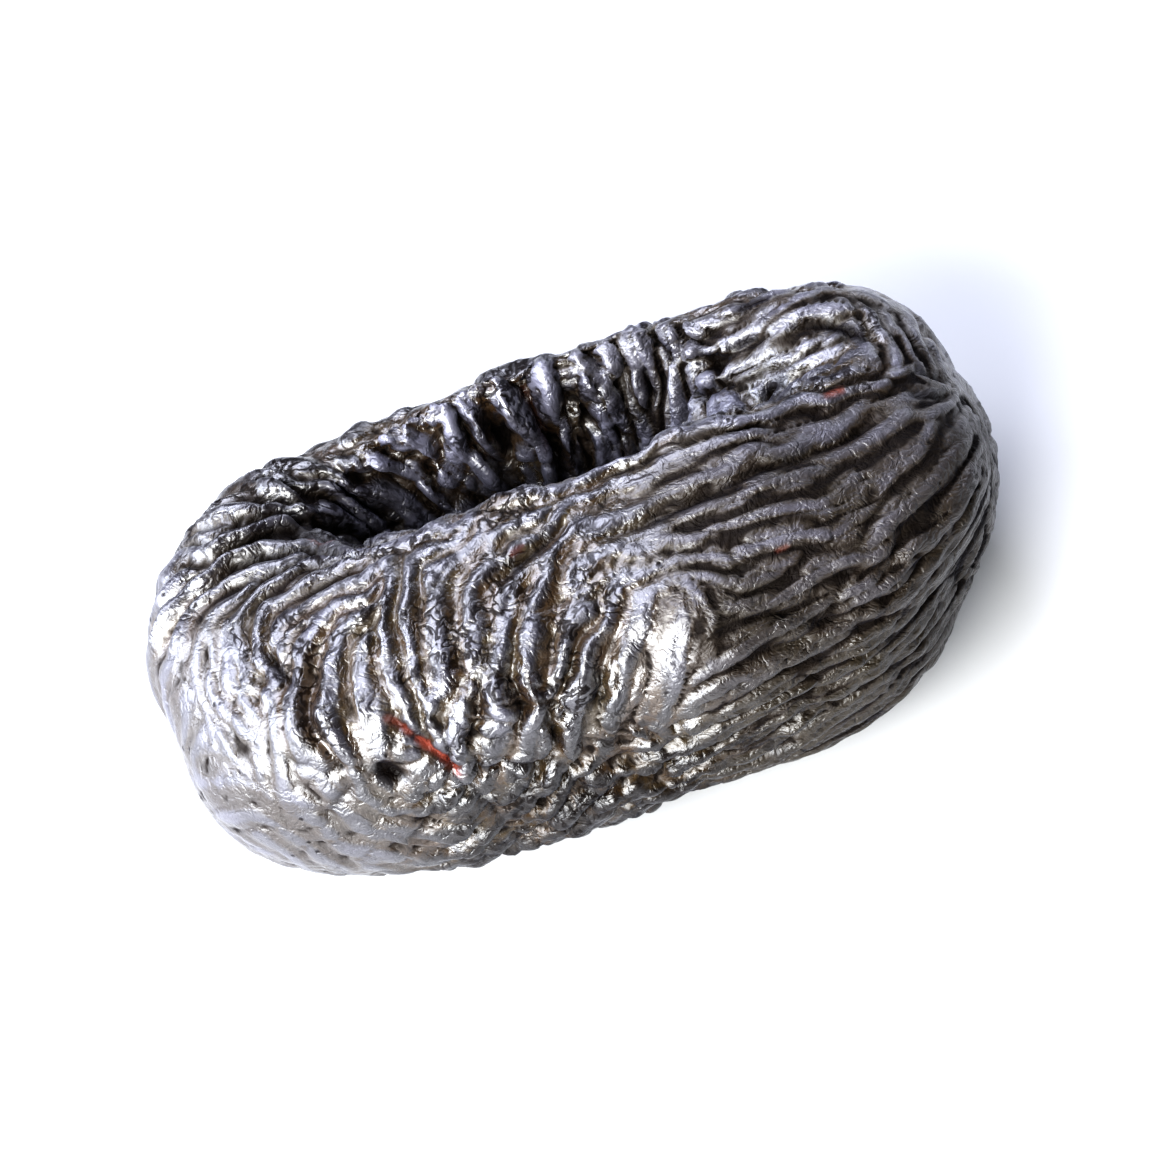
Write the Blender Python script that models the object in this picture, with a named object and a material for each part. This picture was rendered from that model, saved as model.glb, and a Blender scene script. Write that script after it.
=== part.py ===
"""A single pitted prune, 38 mm long, with its pit hollow and its folded skin.

The smooth form is a rounded ball shaped by formulas. The folds are waves laid over it: they run
along lines placed by eye where the photograph shows a fold, and between the lines they follow them.
"""
import math

import bmesh
import bpy
import numpy as np
from mathutils.kdtree import KDTree

NAME = "prune"

# Smooth form, millimetres
LENGTH = 38.0
HALF_LENGTH = 19.0
HALF_WIDTH = 10.4
HALF_HEIGHT = 8.6
ROUNDNESS = 2.7
OUTLINE_SQUEEZE = 0.54
# Dents and swellings of the outline as seen: angle from the right end, share of the radius, width
OUTLINE_TRIMS = ((27, -0.05, 0.22), (53, 0.045, 0.18), (88, -0.035, 0.3), (145, -0.058, 0.35),
                 (258, -0.065, 0.4), (325, -0.085, 0.22))
HOLLOW_DEPTH = 9.8
HOLLOW_MIDDLE = 4.1
HOLLOW_HALF_WIDTH = 3.9
FUNNEL_DEPTH = 4.2
RIM_LEAN = 0.5
REST_LEVEL = -8.32
REST_TRIM = 0.04

# Folds
FOLD_HEIGHT = 0.40
FOLD_SHARPNESS = 1.3
FOLD_SPREAD = 0.62
LUMP_HEIGHT = 0.17
WIGGLE = 0.17
SEED = 11

# Mesh
START_CUTS = 8
DOUBLINGS = 4
SLIDES = (300, 300, 200, 120, 60)
TRIANGLES = 9600

# Skin
SKIN_COLOUR = (0.022, 0.015, 0.012, 1.0)
SKIN_ROUGHNESS = 0.38

# The three sides on which lines are placed: right and up of each, as seen
LOOK_DOWN = math.radians(58.0)
SEEN = np.array(((1.0, 0.0, 0.0), (0.0, math.sin(LOOK_DOWN), math.cos(LOOK_DOWN))))
BEHIND = np.array(((-1.0, 0.0, 0.0), (0.0, 0.0, 1.0)))
BELOW = np.array(((1.0, 0.0, 0.0), (0.0, -1.0, 0.0)))

RIDGE, VALLEY = 0.0, math.pi
# Fold lines: wavelength, strength, ridge or valley, then points (right, up) in millimetres
SEEN_LINES = (
    # pleats that gather at the left end of the hollow
    (1.3, 1.5, RIDGE, ((-8.2, 4.2), (-9.2, 4.9), (-10.3, 5.5), (-11.5, 5.9), (-13, 6.2), (-14.5, 6.1),
                       (-16, 5.6), (-17, 4.6))),
    (1.2, 1.4, RIDGE, ((-9, 5.2), (-10.5, 6.4), (-12, 6.9), (-14, 7), (-16, 6.9), (-17.2, 6.5))),
    (0.9, 1.3, RIDGE, ((-8, 4.3), (-9.5, 4.5), (-11, 4.8), (-12.2, 4.9), (-13, 4.5))),
    (1.0, 1.5, RIDGE, ((-8.3, 4.1), (-10, 4), (-12, 4), (-13, 3.8), (-13.9, 3), (-14.2, 2), (-13.9, 1.2))),
    (0.8, 1.3, RIDGE, ((-8.5, 3.5), (-10.5, 3.3), (-11.7, 3.1))),
    (0.8, 1.3, RIDGE, ((-8.6, 2.9), (-10, 2.7), (-11, 2.4))),
    (1.5, 1.8, RIDGE, ((-8.4, 2.2), (-9.5, 2), (-10.4, 1.5), (-11.3, 0.5), (-11.8, -0.8), (-11.8, -2))),
    (0.9, 1.3, RIDGE, ((-12.3, 9.2), (-11, 8.7), (-9.7, 8), (-8.8, 7.1), (-8, 6), (-7.2, 5))),
    (1.0, 1.4, RIDGE, ((-15, 8), (-13, 7.9), (-11.5, 7.5), (-10, 7), (-9, 6.2), (-8, 5.2))),
    (1.4, 1.4, RIDGE, ((-7.5, 8.5), (-5.8, 7.6), (-5, 6.5), (-4.3, 5.3))),
    # crest of the near rim
    (1.1, 1.5, RIDGE, ((-7.8, 4.1), (-6, 4.2), (-4, 4.6), (-2, 4.9), (-0.5, 4.5), (0.8, 4.4), (2.5, 4.9),
                       (4, 4.9), (7, 4.8), (10, 4.5), (12, 4.4), (14.5, 4.0))),
    # wavy folds across the near side
    (1.1, 1.1, RIDGE, ((-7.4, 3.4), (-8.5, 1.8), (-8.8, 0), (-8.7, -2))),
    (1.1, 1.1, RIDGE, ((-6.3, 3.5), (-6.9, 2), (-7.8, 0.8), (-8.1, -0.3), (-7.9, -1.5))),
    (1.5, 1.1, VALLEY, ((-5.7, -0.5), (-6, -1.5), (-6.6, -2.5), (-7.5, -3.5))),
    (1.3, 1.1, RIDGE, ((-4.9, 0.5), (-5.1, -1), (-5.2, -2.5), (-5, -3.3), (-5.2, -4.2))),
    (1.4, 1.2, RIDGE, ((-2.7, 1.3), (-3.6, 0.5), (-4, -0.5), (-4.3, -1.5), (-4.6, -2.5), (-4.8, -3.5))),
    (1.4, 1.2, VALLEY, ((-2.2, 0.9), (-2.9, -0.3), (-3.3, -1.5), (-4.1, -2.7), (-4.3, -3.9))),
    (1.6, 1.3, RIDGE, ((-0.6, 2.0), (-1.2, 1.3), (-2, 0), (-2.4, -1), (-3, -2.2), (-3.4, -2.9))),
    (1.3, 1.1, RIDGE, ((0.2, -0.4), (-1, -1.4), (-1.6, -2), (-2.2, -3), (-3.3, -3.8), (-4.6, -5.4))),
    (1.5, 1.2, RIDGE, ((2.5, 0.2), (1.2, -0.5), (0.5, -1.3), (0, -2), (-0.8, -2.8), (-1.8, -4.3),
                       (-2.6, -6))),
    (1.4, 0.7, RIDGE, ((2.2, -2.2), (1.2, -3), (0.5, -3.9), (-0.3, -5.2), (-1, -6.8))),
    (1.6, 0.45, RIDGE, ((4, -2), (3, -3.4), (2.3, -4.8), (1.6, -6.4))),
    (1.0, 1.0, RIDGE, ((0.4, 3.4), (-1.1, 2.7))),
    (1.0, 1.1, VALLEY, ((0.3, 3.0), (-1, 2.4), (-2.5, 1.8), (-3.5, 1.4))),
    (0.9, 0.8, RIDGE, ((-6, 3.6), (-5, 3.5), (-4, 4), (-3.4, 4.3))),
    # long folds of the right half
    (1.5, 0.8, VALLEY, ((1.2, 1.9), (5, 2), (9, 2.2), (13, 2.4), (14.3, 3))),
    (1.2, 0.6, RIDGE, ((2.2, 1.1), (5.5, 0.7), (7, 0.4), (9, 0.3), (10.5, 0.4))),
    (1.3, 0.7, VALLEY, ((5.6, -0.2), (8.3, -0.1), (10, -0.4), (11.3, -0.5))),
    (1.5, 0.7, VALLEY, ((5, -3.9), (8, -3.7), (12, -3), (15, -1.7), (17, -0.3))),
    (1.4, 0.7, VALLEY, ((4, -5.3), (7, -5.1), (10, -4.8), (13, -3.9), (16, -2.5))),
    (1.6, 0.8, VALLEY, ((-3, -9.1), (-1.5, -8.6), (3, -8.3), (6, -7.9), (10, -7.2))),
    (1.2, 0.6, RIDGE, ((4.6, 0.2), (5.2, 0), (5.7, -0.7), (6.2, -1.3), (6, -1.7))),
    (0.9, 0.6, RIDGE, ((4.1, -1.3), (4.3, -2.3), (4.5, -3.3), (4.9, -3.8))),
    (1.3, 0.6, RIDGE, ((2.5, -6.5), (5, -5.8), (7, -5.7), (10, -5.4))),
    (1.3, 0.6, RIDGE, ((4.4, -7.0), (8, -6.5), (11, -6.0))),
    (1.3, 0.6, RIDGE, ((7, -4.4), (8.5, -4.3), (9.5, -4.3))),
    (1.1, 0.7, RIDGE, ((10.5, -0.8), (11.5, -0.6), (12, 0), (12, 0.5))),
    (1.4, 1.2, RIDGE, ((-3, -9.7), (-2, -9.2), (-1, -8.9), (0.5, -9.1), (3.5, -9.3), (5, -9.1), (7.4, -8.6))),
    # inner side of the far rim
    (1.5, 1.1, RIDGE, ((-3.2, 9.4), (-3.3, 8), (-2.6, 6.6), (-2.2, 5.5))),
    (1.7, 1.3, RIDGE, ((-0.9, 9.6), (-0.6, 8.4), (-0.3, 7), (-0.1, 5.4))),
    (1.3, 1.1, RIDGE, ((1.4, 9.2), (1.3, 8), (1.1, 6.6), (1.2, 5.4))),
    (1.4, 1.1, RIDGE, ((2.9, 9.2), (3.0, 8.2), (3.4, 7.2), (3.2, 6), (3, 5.2))),
    (1.4, 1.2, RIDGE, ((5.3, 9.8), (5.4, 8.4), (5, 7), (4.6, 5.6))),
    (1.4, 1.1, RIDGE, ((6.9, 9.5), (6.7, 8.2), (6.3, 6.8), (6.1, 5.4))),
    (1.2, 1.0, VALLEY, ((7.9, 8.9), (9.3, 8.6), (10.4, 8.8), (11.9, 9.1))),
    (1.2, 1.0, VALLEY, ((7.9, 7.1), (9.5, 7.5), (10.8, 7.7))),
    (1.1, 1.0, VALLEY, ((11, 7.1), (13, 7.2), (14.3, 7.3), (14.8, 6.6), (15, 5.5))),
    (1.1, 1.0, VALLEY, ((9, 4.9), (10.5, 5.2), (12.2, 5.6))),
)
BEHIND_LINES = (
    (1.9, 1.0, RIDGE, ((-13, 5), (-11.5, 2.5), (-9, 0.8), (-5, 0))),
    (1.9, 1.0, RIDGE, ((-8, 6), (-7, 4), (-4.5, 2.6), (-1, 2))),
    (1.9, 1.0, RIDGE, ((-3, 6), (-2, 4.3), (0.5, 3.8), (4, 4))),
    (1.9, 1.0, RIDGE, ((3, 6.5), (4.5, 5.2), (8, 4.5), (12, 3.5), (15, 1.5))),
    (2.1, 1.0, RIDGE, ((0, 0.5), (4, -0.5), (9, -0.2), (14, -1.5))),
    (2.1, 1.0, RIDGE, ((-15, -1.5), (-11, -2.6), (-6, -3), (-1, -2.6))),
)
BELOW_LINES = (
    (2.1, 1.0, RIDGE, ((-14, 1), (-11, 3), (-7, 4.2), (-2, 5))),
    (2.1, 1.0, RIDGE, ((-14, -2), (-10, -3.8), (-5, -5), (0, -5.4))),
    (2.1, 1.0, RIDGE, ((6, 5), (10, 3), (13, 0.4), (14, -1))),
    (2.1, 1.0, RIDGE, ((5, -5.4), (9, -4), (11, -2), (11.5, 0))),
)
# Creases of the seen side: depth, half width, then points (right, up) in millimetres
CREASES = (
    (0.45, 0.24, ((-13.8, 2.2), (-13.5, 1), (-13, 0))),
    (0.50, 0.26, ((-9.6, -2.5), (-8.8, -3.6), (-8, -5), (-7.5, -5.9))),
    (0.30, 0.24, ((-7.8, -6), (-7, -7.2), (-6.3, -8.5))),
    (0.30, 0.24, ((-7.5, -5.9), (-5.5, -6.2), (-4, -6.8), (-3, -7))),
    (0.22, 0.24, ((-14.6, -2.5), (-13.8, -3.2), (-13.3, -3.4))),
    (0.22, 0.24, ((-13.5, -5.9), (-12.8, -5.2), (-11.6, -4.7))),
    (0.22, 0.24, ((-13, -4), (-12, -3.6))),
    (0.35, 0.26, ((16.2, 4.2), (17, 3.7), (17.8, 3.2))),
    (0.35, 0.26, ((15.6, 3.2), (16.6, 2.8), (17.6, 2.6))),
    (0.40, 0.28, ((1.2, 1.9), (3, 1.75), (5, 1.9), (9, 2.2), (13, 2.4), (14.3, 3))),
    (0.35, 0.26, ((0.3, 3.0), (-1, 2.4), (-2.5, 1.8), (-3.5, 1.4))),
    (0.55, 0.45, ((-10.8, -4.3), (-10.4, -4.9), (-9.9, -5.5))),
    # gaps between the lumps of the upper right
    (0.45, 0.30, ((10.0, 9.1), (10.9, 9.4), (11.8, 9.35))),
    (0.55, 0.36, ((8.6, 5.2), (9.8, 5.25), (11.2, 5.7))),
    (0.50, 0.34, ((11.8, 7.5), (13.1, 7.4), (14.3, 6.7), (15, 5.7))),
    (0.45, 0.32, ((7.0, 6.4), (7.8, 6.0), (8.7, 6.1))),
    (0.45, 0.30, ((5.4, 8.3), (5.3, 7.4), (5.6, 6.5))),
    (0.45, 0.30, ((6.3, 9.5), (6.6, 8.7), (6.7, 7.7))),
    (0.40, 0.28, ((9.2, 7.5), (10.2, 7.8), (11, 7.5))),
    (0.40, 0.28, ((7.9, 8.2), (8.4, 7.4), (9.0, 6.8))),
    # lines between the facets below
    (0.30, 0.22, ((-8.6, -6.5), (-9.4, -7.3), (-10.6, -7.7))),
    (0.28, 0.20, ((-5.6, -6.2), (-5.2, -7.1), (-5.4, -8.2))),
    (0.28, 0.20, ((-3.6, -6.9), (-3.2, -7.9), (-2.2, -8.5))),
    (0.26, 0.20, ((-2.6, -6.4), (-1.2, -7.0), (0.4, -7.2))),
)
# Single lumps of the seen side: height, radius, right and up in millimetres
KNOBS = (
    (0.35, 1.0, -7.0, 9.1),
    (0.28, 0.9, -0.8, 9.4),
    (0.35, 0.7, 5.2, 9.6),
    (0.30, 0.7, 6.9, 9.4),
    (0.30, 1.6, 9.4, 6.4),
    (0.25, 1.2, 12.6, 8.2),
    (0.25, 1.4, -13.4, -1.6),
    (0.25, 1.3, -15.2, 4.0),
    (0.20, 1.6, 4.2, -2.6),
)


def clear():
    for ob in list(bpy.data.objects):
        bpy.data.objects.remove(ob)


def ramp(a, b, x):
    t = np.clip((x - a) / (b - a), 0.0, 1.0)
    return t * t * (3.0 - 2.0 * t)


def hump(x, centre, width):
    return np.exp(-((x - centre) / width) ** 2)


def unit(a):
    return a / np.maximum(np.linalg.norm(a, axis=-1, keepdims=True), 1e-12)


def gather(index, values, count):
    """Sum of the rows of values that share an index."""
    return np.stack([np.bincount(index, weights=col, minlength=count) for col in values.T], 1)


def height_seen(p):
    return p @ SEEN[1]


def body(s):
    """Full rounded body for points s of the unit ball, with the outline trimmed as it is seen."""
    half = np.array((HALF_LENGTH, HALF_WIDTH, HALF_HEIGHT))
    p = s * ((np.abs(s / half) ** ROUNDNESS).sum(1) ** (-1.0 / ROUNDNESS))[:, None]
    u, v = p[:, 0], height_seen(p)
    a = np.arctan2(v, u * OUTLINE_SQUEEZE)
    grow = (-0.012 * np.cos(a) + 0.014 * np.sin(a) + 0.013 * np.cos(2 * a) + 0.004 * np.sin(2 * a)
            + 0.008 * np.cos(3 * a) + 0.015 * np.sin(3 * a) - 0.014 * np.cos(4 * a) + 0.007 * np.sin(4 * a))
    for degrees, by, width in OUTLINE_TRIMS:
        grow += by * np.exp((np.cos(a - math.radians(degrees)) - 1.0) / width ** 2)
    return p + (grow * u)[:, None] * SEEN[0] + (grow * v)[:, None] * SEEN[1]


def hollow(p):
    """Press the pit hollow into the top, with a funnel at its left end and the near rim leaning over it."""
    x, y, z = p.T
    top = ramp(-1.5, 3.5, z)
    middle = HOLLOW_MIDDLE + 0.25 * np.sin(x * 0.35) + 0.2 * hump(x, -8.0, 3.0)
    half = 0.35 + HOLLOW_HALF_WIDTH * np.clip(1.0 - np.abs((x - 2.6) / 14.2) ** 3.2, 0.0, 1.0) ** 0.5
    across = (y - middle) / half
    out = (np.abs((x - 2.8) / 13.3) ** 4.0 + np.abs(across) ** 2.4) ** (1 / 2.4)
    far = ramp(-0.5, 0.5, across)
    start, end = 0.38 - 0.28 * far, 1.04 + 0.04 * far
    even = np.clip((out - start) / (end - start), 0.0, 1.0)
    wall = 1.0 - ramp(start, end, out) * (1.0 - 0.6 * far) - 0.6 * far * even
    deep = HOLLOW_DEPTH - 6.2 * ramp(3.0, 8.5, x) - 1.4 * ramp(8.5, 13.0, x) - 1.5 * ramp(-4.0, -8.0, x)
    funnel = FUNNEL_DEPTH * np.exp(-(((x + 8.0) / 4.6) ** 2 + ((y - 5.0) / 3.8) ** 2))
    q = p.copy()
    q[:, 2] -= top * (deep * wall + funnel * (1.0 - 0.6 * wall))
    lean = hump(y, -0.6, 1.9) * ramp(3.0, 8.5, q[:, 2]) * ramp(-9.5, -5.0, x) * ramp(15.5, 12.0, x)
    q[:, 1] += RIM_LEAN * lean
    return q


def form(s):
    return hollow(body(s))


def read(mesh):
    co = np.empty(len(mesh.vertices) * 3, np.float32)
    mesh.vertices.foreach_get("co", co)
    edges = np.empty(len(mesh.edges) * 2, np.int32)
    mesh.edges.foreach_get("vertices", edges)
    quads = np.empty(len(mesh.polygons) * 4, np.int32)
    mesh.polygons.foreach_get("vertices", quads)
    return co.astype(float).reshape(-1, 3), edges.reshape(-1, 2), quads.reshape(-1, 4)


def slide(s, edges, times):
    """Slide the points over the ball until the edges of the finished form are about alike."""
    count = len(s)
    i = np.concatenate((edges[:, 0], edges[:, 1]))
    j = np.concatenate((edges[:, 1], edges[:, 0]))
    for _ in range(times):
        p = form(s)
        w = ((p[i] - p[j]) ** 2).sum(1) + 1e-6
        mean = gather(i, s[j] * w[:, None], count) / np.bincount(i, weights=w, minlength=count)[:, None]
        s = unit(s + 0.3 * (mean - s))
    return s


def ball(mesh, doublings):
    """Quad ball from a cut cube, doubled in steps. Returns its points and quads."""
    bm = bmesh.new()
    bmesh.ops.create_cube(bm, size=2.0)
    bmesh.ops.subdivide_edges(bm, edges=bm.edges[:], cuts=START_CUTS - 1, use_grid_fill=True)
    for step in range(doublings + 1):
        if step:
            bmesh.ops.subdivide_edges(bm, edges=bm.edges[:], cuts=1, use_grid_fill=True)
        bm.to_mesh(mesh)
        s, edges, _ = read(mesh)
        s = unit(s) if step else unit(np.tan(s * math.pi / 4))
        s = slide(s, edges, SLIDES[step])
        for vert, co in zip(bm.verts, s):
            vert.co = co
    bmesh.ops.recalc_face_normals(bm, faces=bm.faces[:])
    bm.to_mesh(mesh)
    bm.free()
    s, _, quads = read(mesh)
    return s, quads


def normals(p, quads):
    f = np.cross(p[quads[:, 2]] - p[quads[:, 0]], p[quads[:, 3]] - p[quads[:, 1]])
    return unit(sum(gather(quads[:, k], f, len(p)) for k in range(4)))


def tree_of(points):
    tree = KDTree(len(points))
    for i, c in enumerate(points):
        tree.insert(c, i)
    tree.balance()
    return tree


class Skin:
    """The smooth form as points with normals, on which lines are placed."""

    def __init__(self, p, n):
        self.p, self.n, self.tree = p, n, tree_of(p)

    def place(self, side, points):
        """Points of the front surface that lie at the given spots of a side."""
        toward = np.cross(side[0], side[1])
        a, b, depth = self.p @ side[0], self.p @ side[1], self.p @ toward
        facing = self.n @ toward > 0.0
        found = []
        for right, up in points:
            off = np.hypot(a - right, b - up) + np.where(facing, 0.0, 1.0)
            near = np.flatnonzero(off < max(0.3, off.min() + 0.05))
            front = near[depth[near] > depth[near].max() - 1.0]
            found.append(self.p[front].mean(0))
        return np.array(found)

    def normal(self, points):
        return np.array([self.n[self.tree.find(c)[1]] for c in points])


def rounded(line, step):
    """Points at an even step along a line with its corners rounded."""
    for _ in range(2):
        cut = np.empty((2 * len(line) - 2, 3))
        cut[0::2] = 0.75 * line[:-1] + 0.25 * line[1:]
        cut[1::2] = 0.25 * line[:-1] + 0.75 * line[1:]
        line = np.vstack((line[:1], cut, line[-1:]))
    run = np.concatenate(((0.0,), np.cumsum(np.linalg.norm(np.diff(line, axis=0), axis=1))))
    t = np.linspace(0.0, run[-1], max(3, int(run[-1] / step) + 1))
    return np.stack([np.interp(t, run, line[:, k]) for k in range(3)], 1)


def line_waves(skin):
    """Wave patches along the lines. A row is centre, direction, wavelength, strength and phase."""
    rows = []
    for side, lines in ((SEEN, SEEN_LINES), (BEHIND, BEHIND_LINES), (BELOW, BELOW_LINES)):
        for wavelength, strength, phase, points in lines:
            c = rounded(skin.place(side, points), 0.3 * wavelength)
            along = unit(np.gradient(c, axis=0))
            rows += [(*a, *b, wavelength, strength, phase) for a, b in zip(c, along)]
    return np.array(rows)


def plain_wavelength(p, n):
    """Wavelength away from the lines: finer on the seen side and finest in the hollow."""
    seen = ramp(0.1, 0.5, n @ np.cross(SEEN[0], SEEN[1]))
    inside = ramp(0.2, -0.4, n[:, 1]) * hump(p[:, 1], 6.0, 3.0) * (p[:, 2] > -3.0)
    right = ramp(2.0, 6.0, p[:, 0]) * ramp(0.35, -0.1, n[:, 1])
    return 2.1 - 0.55 * seen - 0.25 * inside - 0.45 * right


def plain_strength(p, n):
    """Strength of the folds away from the lines: weak on the smooth lower left and left end, strong below."""
    x, y, z = p.T
    v = height_seen(p)
    near = ramp(0.35, -0.1, n[:, 1])
    lower_left = ramp(-7.0, -12.5, x) * ramp(-0.5, -4.0, v) * near * ramp(-0.85, -0.5, n[:, 2])
    left_end = ramp(-14.5, -17.0, x) * ramp(5.0, 3.0, v) * ramp(0.75, 0.3, n[:, 1])
    middle = np.exp(-(((x - 2.6) / 3.0) ** 2 + ((v + 3.2) / 2.6) ** 2)) * near
    far_rim = hump(z, 7.5, 2.5) * ramp(6.0, 8.0, y)
    right_half = ramp(2.0, 6.0, x) * near
    low = ramp(-2.5, -5.0, v) * ramp(4.0, 0.0, x) * near
    weak_right = (0.5 + 0.25 * hump(v, 0.0, 2.4)) * right_half
    return ((1.0 - 0.8 * lower_left) * (1.0 - 0.75 * left_end) * (1.0 + 0.5 * low) * (1.0 - 0.55 * middle)
            * (1.0 - weak_right) * (1.0 - 0.35 * ramp(15.5, 18.0, x)) * (1.0 - 0.25 * far_rim))


def pleated(p):
    """Where the pleats gather at the left end of the hollow."""
    return np.exp(-(((p[:, 0] + 11.5) / 5.0) ** 2 + ((height_seen(p) - 6.2) / 2.8) ** 2))


def inner_wall(p, n):
    """The inner side of the far rim."""
    return ramp(0.1, -0.4, n[:, 1]) * ramp(1.5, 4.0, p[:, 1]) * ramp(9.5, 7.0, p[:, 0])


def broadness(p, n):
    """Share of broad folds with narrow creases between them, against narrow folds with broad valleys."""
    x, v = p[:, 0], height_seen(p)
    near = ramp(0.35, -0.1, n[:, 1])
    left = ramp(-8.0, -10.5, x) * ramp(4.5, 2.5, v)
    broad = np.maximum(np.maximum(left, ramp(-2.5, -4.5, v)), 0.9 * ramp(1.0, 4.0, x))
    away = ramp(-0.9, 0.9, drift(p, SEED + 52, 6.0))
    broad = near * (0.45 + 0.55 * broad) + (1.0 - near) * away
    return broad * (1.0 - pleated(p)) * (1.0 - 0.8 * inner_wall(p, n))


def drift(p, seed, size):
    """Slow random field over the form, a sum of sine waves."""
    rng = np.random.default_rng(seed)
    total = np.zeros(len(p))
    for _ in range(9):
        k = unit(rng.normal(size=3)) * 2.0 * math.pi / (size * rng.uniform(0.7, 1.5))
        total += np.sin(p @ k + rng.uniform(0.0, 2.0 * math.pi))
    return total / 2.1


def plain_direction(p, n, seed):
    """Fold direction away from the lines: along the body and wandering, but over the far rim."""
    along = unit(np.array((1.0, 0.0, 0.0)) - n * n[:, :1] + 1e-6)
    turn = 0.7 * drift(p, seed, 13.0) + 1.4 * ramp(1.0, 5.5, p[:, 2]) * ramp(1.5, 5.5, p[:, 1])
    return along * np.cos(turn)[:, None] + np.cross(n, along) * np.sin(turn)[:, None]


def free_waves(skin, lines, seed):
    """Wave patches between the lines, each turned the way the lines near it run."""
    rng = np.random.default_rng(seed)
    chance = 2700.0 / len(skin.p) / (0.3 * plain_wavelength(skin.p, skin.n) ** 2)
    keep = np.flatnonzero(rng.random(len(skin.p)) < chance)
    c, n = skin.p[keep], skin.n[keep]
    plain = plain_direction(c, n, seed + 1)
    line_n = skin.normal(lines[:, :3])
    direction, wavelength = np.empty_like(c), np.empty(len(c))
    for start in range(0, len(c), 400):
        b = slice(start, start + 400)
        far2 = ((c[b, None] - lines[None, :, :3]) ** 2).sum(2)
        w = np.exp(-far2 / 4.5) * np.clip(n[b] @ line_n.T, 0.0, 1.0)
        spread = np.einsum("ij,jk,jl->ikl", w, lines[:, 3:6], lines[:, 3:6])
        spread += 0.06 * plain[b][:, :, None] * plain[b][:, None, :]
        spread -= 50.0 * n[b][:, :, None] * n[b][:, None, :]
        direction[b] = np.linalg.eigh(spread)[1][:, :, 2]
        wavelength[b] = (w @ lines[:, 6] + 0.5 * plain_wavelength(c[b], n[b])) / (w.sum(1) + 0.5)
    phase = rng.uniform(-math.pi, math.pi, len(c))
    return np.column_stack((c, direction, wavelength, 0.6 * plain_strength(c, n), phase))


def run_on(waves, n, fixed, times=60):
    """Wave vectors, and phases turned until the waves run on from patch to patch."""
    tree = tree_of(waves[:, :3])
    pairs = [(i, j, d) for i, row in enumerate(waves)
             for _, j, d in tree.find_range(row[:3], 2.0 * FOLD_SPREAD * row[6]) if j != i]
    i, j, far = (np.array(a) for a in zip(*pairs))
    heading = unit(np.cross(n, waves[:, 3:6]))
    k = heading * (2.0 * math.pi / waves[:, 6])[:, None]
    match = (heading[i] * heading[j]).sum(1)
    w = np.exp(-far ** 2 / (2.0 * (FOLD_SPREAD * waves[j, 6]) ** 2)) * match ** 2
    w *= np.clip((n[i] * n[j]).sum(1), 0.0, 1.0) * np.where(j < fixed, 3.0, 1.0)
    run = (k[j] * (waves[i, :3] - waves[j, :3])).sum(1)
    phase = waves[:, 8].copy()
    for _ in range(times):
        a = np.sign(match) * (run + phase[j])
        re = np.bincount(i, weights=w * np.cos(a), minlength=len(n)) + 0.25 * np.cos(phase)
        im = np.bincount(i, weights=w * np.sin(a), minlength=len(n)) + 0.25 * np.sin(phase)
        phase[fixed:] = np.arctan2(im, re)[fixed:]
    return k, phase


def patches(p, n, waves, wave_n, k, phase, fixed):
    """For each wave patch, the points it reaches with its weight and angle there."""
    reach = 2.4 * FOLD_SPREAD * waves[:, 6]
    lo = np.searchsorted(p[:, 0], waves[:, 0] - reach)
    hi = np.searchsorted(p[:, 0], waves[:, 0] + reach)
    for a in range(len(waves)):
        d = p[lo[a]:hi[a]] - waves[a, :3]
        far2 = (d * d).sum(1)
        side = n[lo[a]:hi[a]] @ wave_n[a]
        hit = np.flatnonzero((far2 < reach[a] ** 2) & (side > 0.05))
        w = np.exp(-far2[hit] / (2.0 * (FOLD_SPREAD * waves[a, 6]) ** 2)) * side[hit]
        yield a, hit + lo[a], w * (3.0 if a < fixed else 1.0), d[hit] @ k[a] + phase[a]


def sum_waves(p, n, waves, wave_n, k, phase, fixed):
    """Cosine of the summed waves at each point, with their agreement, wavelength and strength."""
    p = p + np.stack([WIGGLE * drift(p, SEED + 40 + axis, 2.8) for axis in range(3)], 1)
    order = np.argsort(p[:, 0], kind="stable")
    count = len(p)
    held = list(patches(p[order], n[order], waves, wave_n, k, phase, fixed))
    heading = unit(k)
    spread = np.zeros((count, 3, 3))
    for a, hit, w, _ in held:
        spread[hit] += w[:, None, None] * np.outer(heading[a], heading[a])
    lead = np.linalg.eigh(spread)[1][:, :, 2]
    re, im, total, length, strength = np.zeros((5, count))
    for a, hit, w, angle in held:
        match = lead[hit] @ heading[a]
        re[hit] += w * match ** 2 * np.cos(angle)
        im[hit] += w * match * np.abs(match) * np.sin(angle)
        total[hit] += w
        length[hit] += w * waves[a, 6]
        strength[hit] += w * waves[a, 7]
    total = np.maximum(total, 1e-4)
    size = np.hypot(re, im)
    out = np.empty((4, count))
    out[:, order] = re / np.maximum(size, 1e-6), size / total, length / total, strength / total
    return out


def knobs(p, skin):
    """Height of the single lumps at each point."""
    up = np.zeros(len(p))
    for height, radius, right, above in KNOBS:
        c = skin.place(SEEN, ((right, above),))[0]
        up += height * np.exp(-(((p - c) / radius) ** 2).sum(1))
    return up


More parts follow.
